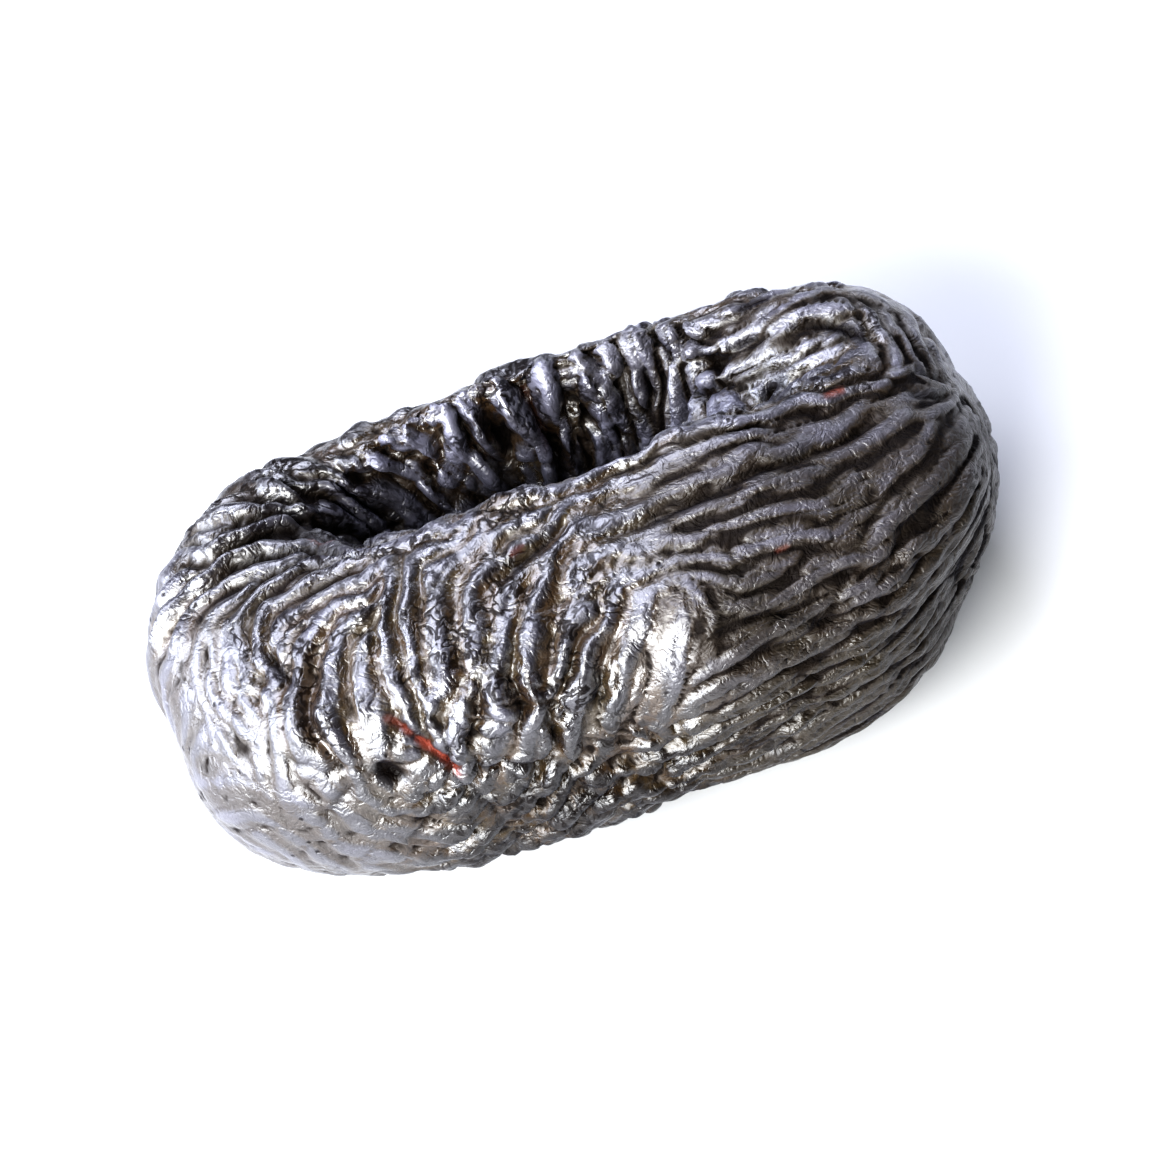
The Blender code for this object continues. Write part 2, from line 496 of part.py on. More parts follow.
def creases(p, skin):
    """Depth of the creases at each point."""
    cut = np.zeros(len(p))
    for depth, width, points in CREASES:
        c = rounded(skin.place(SEEN, points), 0.1)
        t = np.linspace(0.0, 1.0, len(c))
        near = np.flatnonzero(((p > c.min(0) - 3 * width) & (p < c.max(0) + 3 * width)).all(1))
        far2 = ((p[near][:, None] - c[None]) ** 2).sum(2)
        j = far2.argmin(1)
        fade = np.sqrt(4.0 * t[j] * (1.0 - t[j]))
        shape = np.exp(-(np.sqrt(far2.min(1)) / width) ** 1.5)
        cut[near] = np.maximum(cut[near], depth * fade * shape)
    return cut


def folded(p, n, skin):
    """Raise the folds and cut the creases on the smooth form, and press the rest flat below."""
    lines = line_waves(skin)
    waves = np.vstack((lines, free_waves(skin, lines, SEED)))
    wave_n = skin.normal(waves[:, :3])
    k, phase = run_on(waves, wave_n, len(lines))
    crest, agree, length, strength = sum_waves(p, n, waves, wave_n, k, phase, len(lines))
    x, y, z = p.T
    rest = ramp(-6.5, -8.0, z) * np.exp(-((x / 5.6) ** 2 + (y / 3.6) ** 2) ** 2)
    up, broad = 0.5 + 0.5 * crest, broadness(p, n)
    shape = (1.0 - broad) * (up ** FOLD_SHARPNESS - 0.45) + broad * (0.38 - (1.0 - up) ** 2.5)
    loose = 1.15 + 0.25 * ramp(2.0, 6.0, x)
    uneven = 1.0 + loose * (0.42 * drift(p, SEED + 50, 3.2) + 0.32 * drift(p, SEED + 51, 1.8))
    uneven = np.clip(uneven, 0.1, 1.8)
    uneven *= 1.0 - 0.3 * ramp(0.2, 0.7, n[:, 1])
    uneven *= 1.0 - 0.45 * ramp(0.65, 0.95, n[:, 2]) * ramp(4.0, 6.5, z)
    pleats, wall = pleated(p), inner_wall(p, n)
    uneven = (1.0 + (uneven - 1.0) * (1.0 - 0.8 * pleats)) * (1.0 + 0.5 * pleats + 0.35 * wall)
    h = FOLD_HEIGHT * length * strength * shape * uneven * ramp(0.05, 0.5, agree)
    h = (h + LUMP_HEIGHT * drift(p, SEED + 66, 9.0)) * (1.0 - rest) + knobs(p, skin) - creases(p, skin)
    q = p + n * h[:, None]
    q[:, 2] = np.maximum(q[:, 2], REST_LEVEL)
    return q


def framed(p):
    """Metres, with the origin below the middle of the box and the length as named."""
    lo, hi = p.min(0), p.max(0)
    base = np.array(((lo[0] + hi[0]) / 2, (lo[1] + hi[1]) / 2, lo[2]))
    return (p - base) * (LENGTH / (hi[0] - lo[0])) / 1000.0


def skin_material():
    mat = bpy.data.materials.new("prune_skin")
    mat.use_nodes = True
    shader = mat.node_tree.nodes["Principled BSDF"]
    shader.inputs["Base Color"].default_value = SKIN_COLOUR
    shader.inputs["Roughness"].default_value = SKIN_ROUGHNESS
    shader.inputs["Metallic"].default_value = 0.0
    mat.diffuse_color = SKIN_COLOUR
    return mat


def put(mesh, p):
    mesh.vertices.foreach_set("co", p.astype(np.float32).ravel())
    mesh.update()


def thinned(ob, ratio):
    """Mesh of the object with fewer, larger triangles."""
    thin = ob.modifiers.new("thin", "DECIMATE")
    thin.decimate_type = "COLLAPSE"
    thin.ratio = ratio
    thin.use_collapse_triangulate = True
    return bpy.data.meshes.new_from_object(ob.evaluated_get(bpy.context.evaluated_depsgraph_get()))


def prune(collection):
    full = bpy.data.meshes.new("full")
    s, quads = ball(full, DOUBLINGS)
    p = form(s)
    n = normals(p, quads)
    put(full, folded(p, n, Skin(p, n)))
    rough = bpy.data.objects.new("rough", full)
    collection.objects.link(rough)
    mesh = thinned(rough, TRIANGLES / (2.0 * len(quads)))
    bpy.data.objects.remove(rough)
    co = np.empty(len(mesh.vertices) * 3, np.float32)
    mesh.vertices.foreach_get("co", co)
    q = co.astype(float).reshape(-1, 3)
    q[:, 2] = np.maximum(q[:, 2], REST_LEVEL + REST_TRIM)
    put(mesh, framed(q))
    mesh.name = NAME
    mesh.materials.append(skin_material())
    collection.objects.link(bpy.data.objects.new(NAME, mesh))


def main():
    clear()
    collection = bpy.data.collections.new(NAME)
    bpy.context.scene.collection.children.link(collection)
    prune(collection)


main()
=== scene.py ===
"""Looks of a pitted prune: its folded skin with the fine wrinkles, its glossy finish and a stage.

The large folds repeat the formulas and the lines of the part's source, so the skin lies on the
solid.
"""
import math

import bmesh
import bpy
import numpy as np
from bpy.props import FloatProperty, FloatVectorProperty, PointerProperty
from mathutils import Matrix, Vector
from mathutils.kdtree import KDTree


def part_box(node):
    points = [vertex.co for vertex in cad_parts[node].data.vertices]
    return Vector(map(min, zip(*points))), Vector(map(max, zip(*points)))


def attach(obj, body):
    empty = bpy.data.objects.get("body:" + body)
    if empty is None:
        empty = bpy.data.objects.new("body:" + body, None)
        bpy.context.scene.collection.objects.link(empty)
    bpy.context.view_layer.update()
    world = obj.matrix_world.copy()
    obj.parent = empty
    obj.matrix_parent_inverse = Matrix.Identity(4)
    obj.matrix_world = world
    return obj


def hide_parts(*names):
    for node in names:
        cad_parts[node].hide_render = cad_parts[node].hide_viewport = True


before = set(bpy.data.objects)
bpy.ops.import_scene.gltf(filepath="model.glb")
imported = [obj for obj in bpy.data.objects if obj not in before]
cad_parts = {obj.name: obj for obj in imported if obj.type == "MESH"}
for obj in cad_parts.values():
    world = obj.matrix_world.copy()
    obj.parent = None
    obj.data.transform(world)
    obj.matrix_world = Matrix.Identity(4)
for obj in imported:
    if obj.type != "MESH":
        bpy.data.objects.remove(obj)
CAD_LOW, CAD_HIGH = (np.array(c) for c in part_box("prune"))

bl_info = {
    "name": "Pitted prune",
    "version": (1, 0, 0),
    "blender": (4, 5, 0),
    "location": "3D View > Sidebar > Prune",
    "description": "Builds the wrinkled skin of a pitted prune and a plain stage for it",
    "category": "Object",
}

# Smooth form, millimetres
HALF_LENGTH = 19.0
HALF_WIDTH = 10.4
HALF_HEIGHT = 8.6
ROUNDNESS = 2.7
OUTLINE_SQUEEZE = 0.54
# Dents and swellings of the outline as seen: angle from the right end, share of the radius, width
OUTLINE_TRIMS = ((27, -0.05, 0.22), (53, 0.045, 0.18), (88, -0.035, 0.3), (145, -0.058, 0.35),
                 (258, -0.065, 0.4), (325, -0.085, 0.22))
HOLLOW_DEPTH = 9.8
HOLLOW_MIDDLE = 4.1
HOLLOW_HALF_WIDTH = 3.9
FUNNEL_DEPTH = 4.2
RIM_LEAN = 0.5
REST_LEVEL = -8.32

# Folds
FOLD_HEIGHT = 0.40
FOLD_SHARPNESS = 1.3
FOLD_SPREAD = 0.62
# Weight of a wave patch on a line, against one between the lines
LINE_WEIGHT = 3.0
LUMP_HEIGHT = 0.17
WIGGLE = 0.17
# Each random field has a seed of its own, this one plus a number
SEED = 11

# Layers of fine wrinkles: wavelength, length of the streaks, softness of the creases, mean, seed
FACETS = (3.4, 0.5, 0.13, 0.77, SEED + 75)
LOBES = (2.5, 1.3, 0.2, 0.7, SEED + 71)
LINES = (1.25, 2.0, 0.22, 0.68, SEED + 74)
RIBS = (1.1, 0.6, 0.4, 0.6, SEED + 72)

# Mesh
START_CUTS = 8
DOUBLINGS = 4
SLIDES = (300, 300, 200, 120, 60)

# The shapes are worked out in millimetres, and the scene is in metres
MM_PER_M = 1000.0

# Values at the points that the finish reads; the bloom share also carries painted light, and the
# dark one painted shade
SHARES = ("bloom_and_painted_light", "long", "dry", "gap", "crest", "fine", "calm", "crease", "red", "painted_pit_shade")
# Near-black painted shade for the valleys, creases, cracks and pores
PAINTED_SHADE_COLOUR = (0.004, 0.0025, 0.0018, 1.0)

# What the settings of one kind share
AS_COLOUR = {"size": 4, "min": 0.0, "max": 1.0, "subtype": "COLOR"}
AS_LENGTH = {"subtype": "DISTANCE", "unit": "LENGTH"}
AS_ANGLE = {"subtype": "ANGLE", "unit": "ROTATION"}

# Width of the camera's sensor, millimetres
SENSOR_WIDTH = 36.0

# Stage, in metres
FLOOR_RADIUS = 3.0
CAMERA_TARGET = Vector((0.0, 0.0, 0.0085))
LIGHT_TARGET = Vector((0.0, 0.0, 0.01))
# Soft lights: name, direction from the fruit, distance, size, share of the power, colour
LIGHTS = (
    ("left", (-0.92, 0.05, 0.32), 0.5, (0.5, 0.3), 0.65, (0.82, 0.87, 1.0)),
    ("front_left", (-0.62, -0.7, 0.36), 0.5, (0.5, 0.34), 0.75, (0.93, 0.96, 1.0)),
    ("top", (-0.2, 0.38, 0.9), 0.55, (0.45, 0.4), 0.6, (0.82, 0.85, 1.0)),
    ("front", (-0.46, -0.58, 0.67), 0.5, (0.34, 0.26), 0.6, (1.0, 1.0, 0.98)),
    ("back_right", (0.62, 0.68, 0.4), 0.55, (0.4, 0.3), 0.15, (0.84, 0.87, 1.0)),
)

# The three sides on which lines are placed: right and up of each, as seen
LOOK_DOWN = math.radians(58.0)
SEEN = np.array(((1.0, 0.0, 0.0), (0.0, math.sin(LOOK_DOWN), math.cos(LOOK_DOWN))))
BEHIND = np.array(((-1.0, 0.0, 0.0), (0.0, 0.0, 1.0)))
BELOW = np.array(((1.0, 0.0, 0.0), (0.0, -1.0, 0.0)))

RIDGE, VALLEY = 0.0, math.pi
# Fold lines: wavelength, strength, ridge or valley, then points (right, up) in millimetres
SEEN_LINES = (
    # pleats that gather at the left end of the hollow
    (1.3, 1.5, RIDGE, ((-8.2, 4.2), (-9.2, 4.9), (-10.3, 5.5), (-11.5, 5.9), (-13, 6.2),
                       (-14.5, 6.1), (-16, 5.6), (-17, 4.6))),
    (1.2, 1.4, RIDGE, ((-9, 5.2), (-10.5, 6.4), (-12, 6.9), (-14, 7), (-16, 6.9), (-17.2, 6.5))),
    (0.9, 1.3, RIDGE, ((-8, 4.3), (-9.5, 4.5), (-11, 4.8), (-12.2, 4.9), (-13, 4.5))),
    (1.0, 1.5, RIDGE, ((-8.3, 4.1), (-10, 4), (-12, 4), (-13, 3.8), (-13.9, 3), (-14.2, 2),
                       (-13.9, 1.2))),
    (0.8, 1.3, RIDGE, ((-8.5, 3.5), (-10.5, 3.3), (-11.7, 3.1))),
    (0.8, 1.3, RIDGE, ((-8.6, 2.9), (-10, 2.7), (-11, 2.4))),
    (1.5, 1.8, RIDGE, ((-8.4, 2.2), (-9.5, 2), (-10.4, 1.5), (-11.3, 0.5), (-11.8, -0.8),
                       (-11.8, -2))),
    (0.9, 1.3, RIDGE, ((-12.3, 9.2), (-11, 8.7), (-9.7, 8), (-8.8, 7.1), (-8, 6), (-7.2, 5))),
    (1.0, 1.4, RIDGE, ((-15, 8), (-13, 7.9), (-11.5, 7.5), (-10, 7), (-9, 6.2), (-8, 5.2))),
    (1.4, 1.4, RIDGE, ((-7.5, 8.5), (-5.8, 7.6), (-5, 6.5), (-4.3, 5.3))),
    # crest of the near rim
    (1.1, 1.5, RIDGE, ((-7.8, 4.1), (-6, 4.2), (-4, 4.6), (-2, 4.9), (-0.5, 4.5), (0.8, 4.4),
                       (2.5, 4.9), (4, 4.9), (7, 4.8), (10, 4.5), (12, 4.4), (14.5, 4.0))),
    # wavy folds across the near side
    (1.1, 1.1, RIDGE, ((-7.4, 3.4), (-8.5, 1.8), (-8.8, 0), (-8.7, -2))),
    (1.1, 1.1, RIDGE, ((-6.3, 3.5), (-6.9, 2), (-7.8, 0.8), (-8.1, -0.3), (-7.9, -1.5))),
    (1.5, 1.1, VALLEY, ((-5.7, -0.5), (-6, -1.5), (-6.6, -2.5), (-7.5, -3.5))),
    (1.3, 1.1, RIDGE, ((-4.9, 0.5), (-5.1, -1), (-5.2, -2.5), (-5, -3.3), (-5.2, -4.2))),
    (1.4, 1.2, RIDGE, ((-2.7, 1.3), (-3.6, 0.5), (-4, -0.5), (-4.3, -1.5), (-4.6, -2.5),
                       (-4.8, -3.5))),
    (1.4, 1.2, VALLEY, ((-2.2, 0.9), (-2.9, -0.3), (-3.3, -1.5), (-4.1, -2.7), (-4.3, -3.9))),
    (1.6, 1.3, RIDGE, ((-0.6, 2.0), (-1.2, 1.3), (-2, 0), (-2.4, -1), (-3, -2.2), (-3.4, -2.9))),
    (1.3, 1.1, RIDGE, ((0.2, -0.4), (-1, -1.4), (-1.6, -2), (-2.2, -3), (-3.3, -3.8),
                       (-4.6, -5.4))),
    (1.5, 1.2, RIDGE, ((2.5, 0.2), (1.2, -0.5), (0.5, -1.3), (0, -2), (-0.8, -2.8), (-1.8, -4.3),
                       (-2.6, -6))),
    (1.4, 0.7, RIDGE, ((2.2, -2.2), (1.2, -3), (0.5, -3.9), (-0.3, -5.2), (-1, -6.8))),
    (1.6, 0.45, RIDGE, ((4, -2), (3, -3.4), (2.3, -4.8), (1.6, -6.4))),
    (1.0, 1.0, RIDGE, ((0.4, 3.4), (-1.1, 2.7))),
    (1.0, 1.1, VALLEY, ((0.3, 3.0), (-1, 2.4), (-2.5, 1.8), (-3.5, 1.4))),
    (0.9, 0.8, RIDGE, ((-6, 3.6), (-5, 3.5), (-4, 4), (-3.4, 4.3))),
    # long folds of the right half
    (1.5, 0.8, VALLEY, ((1.2, 1.9), (5, 2), (9, 2.2), (13, 2.4), (14.3, 3))),
    (1.2, 0.6, RIDGE, ((2.2, 1.1), (5.5, 0.7), (7, 0.4), (9, 0.3), (10.5, 0.4))),
    (1.3, 0.7, VALLEY, ((5.6, -0.2), (8.3, -0.1), (10, -0.4), (11.3, -0.5))),
    (1.5, 0.7, VALLEY, ((5, -3.9), (8, -3.7), (12, -3), (15, -1.7), (17, -0.3))),
    (1.4, 0.7, VALLEY, ((4, -5.3), (7, -5.1), (10, -4.8), (13, -3.9), (16, -2.5))),
    (1.6, 0.8, VALLEY, ((-3, -9.1), (-1.5, -8.6), (3, -8.3), (6, -7.9), (10, -7.2))),
    (1.2, 0.6, RIDGE, ((4.6, 0.2), (5.2, 0), (5.7, -0.7), (6.2, -1.3), (6, -1.7))),
    (0.9, 0.6, RIDGE, ((4.1, -1.3), (4.3, -2.3), (4.5, -3.3), (4.9, -3.8))),
    (1.3, 0.6, RIDGE, ((2.5, -6.5), (5, -5.8), (7, -5.7), (10, -5.4))),
    (1.3, 0.6, RIDGE, ((4.4, -7.0), (8, -6.5), (11, -6.0))),
    (1.3, 0.6, RIDGE, ((7, -4.4), (8.5, -4.3), (9.5, -4.3))),
    (1.1, 0.7, RIDGE, ((10.5, -0.8), (11.5, -0.6), (12, 0), (12, 0.5))),
    (1.4, 1.2, RIDGE, ((-3, -9.7), (-2, -9.2), (-1, -8.9), (0.5, -9.1), (3.5, -9.3), (5, -9.1),
                       (7.4, -8.6))),
    # inner side of the far rim
    (1.5, 1.1, RIDGE, ((-3.2, 9.4), (-3.3, 8), (-2.6, 6.6), (-2.2, 5.5))),
    (1.7, 1.3, RIDGE, ((-0.9, 9.6), (-0.6, 8.4), (-0.3, 7), (-0.1, 5.4))),
    (1.3, 1.1, RIDGE, ((1.4, 9.2), (1.3, 8), (1.1, 6.6), (1.2, 5.4))),
    (1.4, 1.1, RIDGE, ((2.9, 9.2), (3.0, 8.2), (3.4, 7.2), (3.2, 6), (3, 5.2))),
    (1.4, 1.2, RIDGE, ((5.3, 9.8), (5.4, 8.4), (5, 7), (4.6, 5.6))),
    (1.4, 1.1, RIDGE, ((6.9, 9.5), (6.7, 8.2), (6.3, 6.8), (6.1, 5.4))),
    (1.2, 1.0, VALLEY, ((7.9, 8.9), (9.3, 8.6), (10.4, 8.8), (11.9, 9.1))),
    (1.2, 1.0, VALLEY, ((7.9, 7.1), (9.5, 7.5), (10.8, 7.7))),
    (1.1, 1.0, VALLEY, ((11, 7.1), (13, 7.2), (14.3, 7.3), (14.8, 6.6), (15, 5.5))),
    (1.1, 1.0, VALLEY, ((9, 4.9), (10.5, 5.2), (12.2, 5.6))),
)
BEHIND_LINES = (
    (1.9, 1.0, RIDGE, ((-13, 5), (-11.5, 2.5), (-9, 0.8), (-5, 0))),
    (1.9, 1.0, RIDGE, ((-8, 6), (-7, 4), (-4.5, 2.6), (-1, 2))),
    (1.9, 1.0, RIDGE, ((-3, 6), (-2, 4.3), (0.5, 3.8), (4, 4))),
    (1.9, 1.0, RIDGE, ((3, 6.5), (4.5, 5.2), (8, 4.5), (12, 3.5), (15, 1.5))),
    (2.1, 1.0, RIDGE, ((0, 0.5), (4, -0.5), (9, -0.2), (14, -1.5))),
    (2.1, 1.0, RIDGE, ((-15, -1.5), (-11, -2.6), (-6, -3), (-1, -2.6))),
)
BELOW_LINES = (
    (2.1, 1.0, RIDGE, ((-14, 1), (-11, 3), (-7, 4.2), (-2, 5))),
    (2.1, 1.0, RIDGE, ((-14, -2), (-10, -3.8), (-5, -5), (0, -5.4))),
    (2.1, 1.0, RIDGE, ((6, 5), (10, 3), (13, 0.4), (14, -1))),
    (2.1, 1.0, RIDGE, ((5, -5.4), (9, -4), (11, -2), (11.5, 0))),
)
# Creases of the seen side: depth, half width, then points (right, up) in millimetres
CREASES = (
    (0.45, 0.24, ((-13.8, 2.2), (-13.5, 1), (-13, 0))),
    (0.50, 0.26, ((-9.6, -2.5), (-8.8, -3.6), (-8, -5), (-7.5, -5.9))),
    (0.30, 0.24, ((-7.8, -6), (-7, -7.2), (-6.3, -8.5))),
    (0.30, 0.24, ((-7.5, -5.9), (-5.5, -6.2), (-4, -6.8), (-3, -7))),
    (0.22, 0.24, ((-14.6, -2.5), (-13.8, -3.2), (-13.3, -3.4))),
    (0.22, 0.24, ((-13.5, -5.9), (-12.8, -5.2), (-11.6, -4.7))),
    (0.22, 0.24, ((-13, -4), (-12, -3.6))),
    (0.35, 0.26, ((16.2, 4.2), (17, 3.7), (17.8, 3.2))),
    (0.35, 0.26, ((15.6, 3.2), (16.6, 2.8), (17.6, 2.6))),
    (0.40, 0.28, ((1.2, 1.9), (3, 1.75), (5, 1.9), (9, 2.2), (13, 2.4), (14.3, 3))),
    (0.35, 0.26, ((0.3, 3.0), (-1, 2.4), (-2.5, 1.8), (-3.5, 1.4))),
    (0.55, 0.45, ((-10.8, -4.3), (-10.4, -4.9), (-9.9, -5.5))),
    # gaps between the lumps of the upper right
    (0.45, 0.30, ((10.0, 9.1), (10.9, 9.4), (11.8, 9.35))),
    (0.55, 0.36, ((8.6, 5.2), (9.8, 5.25), (11.2, 5.7))),
    (0.50, 0.34, ((11.8, 7.5), (13.1, 7.4), (14.3, 6.7), (15, 5.7))),
    (0.45, 0.32, ((7.0, 6.4), (7.8, 6.0), (8.7, 6.1))),
    (0.45, 0.30, ((5.4, 8.3), (5.3, 7.4), (5.6, 6.5))),
    (0.45, 0.30, ((6.3, 9.5), (6.6, 8.7), (6.7, 7.7))),
    (0.40, 0.28, ((9.2, 7.5), (10.2, 7.8), (11, 7.5))),
    (0.40, 0.28, ((7.9, 8.2), (8.4, 7.4), (9.0, 6.8))),
    # lines between the facets below
    (0.30, 0.22, ((-8.6, -6.5), (-9.4, -7.3), (-10.6, -7.7))),
    (0.28, 0.20, ((-5.6, -6.2), (-5.2, -7.1), (-5.4, -8.2))),
    (0.28, 0.20, ((-3.6, -6.9), (-3.2, -7.9), (-2.2, -8.5))),
    (0.26, 0.20, ((-2.6, -6.4), (-1.2, -7.0), (0.4, -7.2))),
)
# Single lumps of the seen side: height, radius, right and up in millimetres
KNOBS = (
    (0.35, 1.0, -7.0, 9.1),
    (0.28, 0.9, -0.8, 9.4),
    (0.35, 0.7, 5.2, 9.6),
    (0.30, 0.7, 6.9, 9.4),
    (0.30, 1.6, 9.4, 6.4),
    (0.25, 1.2, 12.6, 8.2),
    (0.25, 1.4, -13.4, -1.6),
    (0.25, 1.3, -15.2, 4.0),
    (0.20, 1.6, 4.2, -2.6),
)
# Spots and slits of another colour, a painted highlight and painted shade: kind, share, half width,
# then points (right, up) in millimetres
MARKS = (
    ("red", 0.5, 0.2, ((-9.6, -2.6), (-9.0, -3.4))),
    ("red", 1.0, 0.2, ((-8.7, -3.9), (-8, -5), (-7.6, -5.8))),
    ("red", 0.7, 0.14, ((-10.4, 5.6), (-9.9, 5.4), (-9.4, 5.2))),
    ("red", 0.7, 0.17, ((12.5, 4.45), (13.1, 4.4))),
    ("red", 0.2, 0.25, ((0.45, 6.6), (0.5, 7.6), (0.45, 8.7))),
    ("red", 0.3, 0.12, ((-2.4, 2.35), (-1.9, 2.5))),
    ("red", 0.3, 0.12, ((8.3, -1.2), (8.7, -1.15))),
    # painted highlight along the crest of the near rim
    ("painted_highlight", 0.8, 0.22, ((-4, 4.75), (-2, 5.05), (-0.5, 4.65), (0.8, 4.5), (2.5, 5.0), (4, 5.05),
                         (7, 4.95), (10, 4.6))),
    # painted shade at the deep pit and along the red slit
    ("painted_pit_shade", 0.8, 0.30, ((-10.9, -4.4), (-10.4, -4.8), (-9.9, -5.4))),
    ("painted_pit_shade", 0.8, 0.22, ((-10.1, -3.1), (-9.7, -3.9), (-9.8, -4.6))),
)


def ramp(a, b, x):
    t = np.clip((x - a) / (b - a), 0.0, 1.0)
    return t * t * (3.0 - 2.0 * t)


def hump(x, centre, width):
    return np.exp(-((x - centre) / width) ** 2)


def unit(a):
    return a / np.maximum(np.linalg.norm(a, axis=-1, keepdims=True), 1e-12)


def gather(index, values, count):
    """Sum of the rows of values that share an index."""
    return np.stack([np.bincount(index, weights=col, minlength=count) for col in values.T], 1)


def height_seen(p):
    return p @ SEEN[1]


def near_side(n):
    """The side that faces the front."""
    return ramp(0.35, -0.1, n[:, 1])


def body(s):
    """Full rounded body for points s of the unit ball, with the outline trimmed as it is seen."""
    half = np.array((HALF_LENGTH, HALF_WIDTH, HALF_HEIGHT))
    p = s * ((np.abs(s / half) ** ROUNDNESS).sum(1) ** (-1.0 / ROUNDNESS))[:, None]
    u, v = p[:, 0], height_seen(p)
    a = np.arctan2(v, u * OUTLINE_SQUEEZE)
    grow = (-0.012 * np.cos(a) + 0.014 * np.sin(a) + 0.013 * np.cos(2 * a) + 0.004 * np.sin(2 * a)
            + 0.008 * np.cos(3 * a) + 0.015 * np.sin(3 * a)
            - 0.014 * np.cos(4 * a) + 0.007 * np.sin(4 * a))
    for degrees, by, width in OUTLINE_TRIMS:
        grow += by * np.exp((np.cos(a - math.radians(degrees)) - 1.0) / width ** 2)
    return p + (grow * u)[:, None] * SEEN[0] + (grow * v)[:, None] * SEEN[1]


def hollow(p):
    """Press the pit hollow into the top, with a funnel at its left end and the near rim over it."""
    x, y, z = p.T
    top = ramp(-1.5, 3.5, z)
    middle = HOLLOW_MIDDLE + 0.25 * np.sin(x * 0.35) + 0.2 * hump(x, -8.0, 3.0)
    taper = np.clip(1.0 - np.abs((x - 2.6) / 14.2) ** 3.2, 0.0, 1.0) ** 0.5
    half = 0.35 + HOLLOW_HALF_WIDTH * taper
    across = (y - middle) / half
    out = (np.abs((x - 2.8) / 13.3) ** 4.0 + np.abs(across) ** 2.4) ** (1 / 2.4)
    far = ramp(-0.5, 0.5, across)
    start, end = 0.38 - 0.28 * far, 1.04 + 0.04 * far
    even = np.clip((out - start) / (end - start), 0.0, 1.0)
    wall = 1.0 - ramp(start, end, out) * (1.0 - 0.6 * far) - 0.6 * far * even
    deep = (HOLLOW_DEPTH - 6.2 * ramp(3.0, 8.5, x) - 1.4 * ramp(8.5, 13.0, x)
            - 1.5 * ramp(-4.0, -8.0, x))
    funnel = FUNNEL_DEPTH * np.exp(-(((x + 8.0) / 4.6) ** 2 + ((y - 5.0) / 3.8) ** 2))
    q = p.copy()
    q[:, 2] -= top * (deep * wall + funnel * (1.0 - 0.6 * wall))
    lean = hump(y, -0.6, 1.9) * ramp(3.0, 8.5, q[:, 2]) * ramp(-9.5, -5.0, x) * ramp(15.5, 12.0, x)
    q[:, 1] += RIM_LEAN * lean
    return q


def form(s):
    return hollow(body(s))


def read(mesh):
    co = np.empty(len(mesh.vertices) * 3, np.float32)
    mesh.vertices.foreach_get("co", co)
    edges = np.empty(len(mesh.edges) * 2, np.int32)
    mesh.edges.foreach_get("vertices", edges)
    quads = np.empty(len(mesh.polygons) * 4, np.int32)
    mesh.polygons.foreach_get("vertices", quads)
    return co.astype(float).reshape(-1, 3), edges.reshape(-1, 2), quads.reshape(-1, 4)


def slide(s, edges, times):
    """Slide the points over the ball until the edges of the finished form are about alike."""
    count = len(s)
    i = np.concatenate((edges[:, 0], edges[:, 1]))
    j = np.concatenate((edges[:, 1], edges[:, 0]))
    for _ in range(times):
        p = form(s)
        w = ((p[i] - p[j]) ** 2).sum(1) + 1e-6
        total = np.bincount(i, weights=w, minlength=count)
        mean = gather(i, s[j] * w[:, None], count) / total[:, None]
        s = unit(s + 0.3 * (mean - s))
    return s


def ball(mesh, doublings):
    """Quad ball from a cut cube, doubled in steps. Returns its points and quads."""
    bm = bmesh.new()
    bmesh.ops.create_cube(bm, size=2.0)
    bmesh.ops.subdivide_edges(bm, edges=bm.edges[:], cuts=START_CUTS - 1, use_grid_fill=True)
    for step in range(doublings + 1):
        if step:
            bmesh.ops.subdivide_edges(bm, edges=bm.edges[:], cuts=1, use_grid_fill=True)
        bm.to_mesh(mesh)
        s, edges, _ = read(mesh)
        s = unit(s) if step else unit(np.tan(s * math.pi / 4))
        s = slide(s, edges, SLIDES[step])
        for vert, co in zip(bm.verts, s):
            vert.co = co
    bmesh.ops.recalc_face_normals(bm, faces=bm.faces[:])
    bm.to_mesh(mesh)
    bm.free()
    s, _, quads = read(mesh)
    return s, quads


def normals(p, quads):
    f = np.cross(p[quads[:, 2]] - p[quads[:, 0]], p[quads[:, 3]] - p[quads[:, 1]])
    return unit(sum(gather(quads[:, k], f, len(p)) for k in range(4)))


def batches(count, size):
    """Slices that cover a count, to save memory."""
    return (slice(start, start + size) for start in range(0, count, size))


def tree_of(points):
    tree = KDTree(len(points))
    for i, c in enumerate(points):
        tree.insert(c, i)
    tree.balance()
    return tree


class Skin:
    """The smooth form as points with normals, on which lines are placed."""

    def __init__(self, p, n):
        self.p, self.n, self.tree = p, n, tree_of(p)

    def place(self, side, points):
        """Points of the front surface that lie at the given spots of a side."""
        toward = np.cross(side[0], side[1])
        a, b, depth = self.p @ side[0], self.p @ side[1], self.p @ toward
        facing = self.n @ toward > 0.0
        found = []
        for right, up in points:
            off = np.hypot(a - right, b - up) + np.where(facing, 0.0, 1.0)
            near = np.flatnonzero(off < max(0.3, off.min() + 0.05))
            front = near[depth[near] > depth[near].max() - 1.0]
            found.append(self.p[front].mean(0))
        return np.array(found)

    def normal(self, points):
        return np.array([self.n[self.tree.find(c)[1]] for c in points])


def rounded(line, step):
    """Points at an even step along a line with its corners rounded."""
    for _ in range(2):
        cut = np.empty((2 * len(line) - 2, 3))
        cut[0::2] = 0.75 * line[:-1] + 0.25 * line[1:]
        cut[1::2] = 0.25 * line[:-1] + 0.75 * line[1:]
        line = np.vstack((line[:1], cut, line[-1:]))
    run = np.concatenate(((0.0,), np.cumsum(np.linalg.norm(np.diff(line, axis=0), axis=1))))
    t = np.linspace(0.0, run[-1], max(3, int(run[-1] / step) + 1))
    return np.stack([np.interp(t, run, line[:, k]) for k in range(3)], 1)


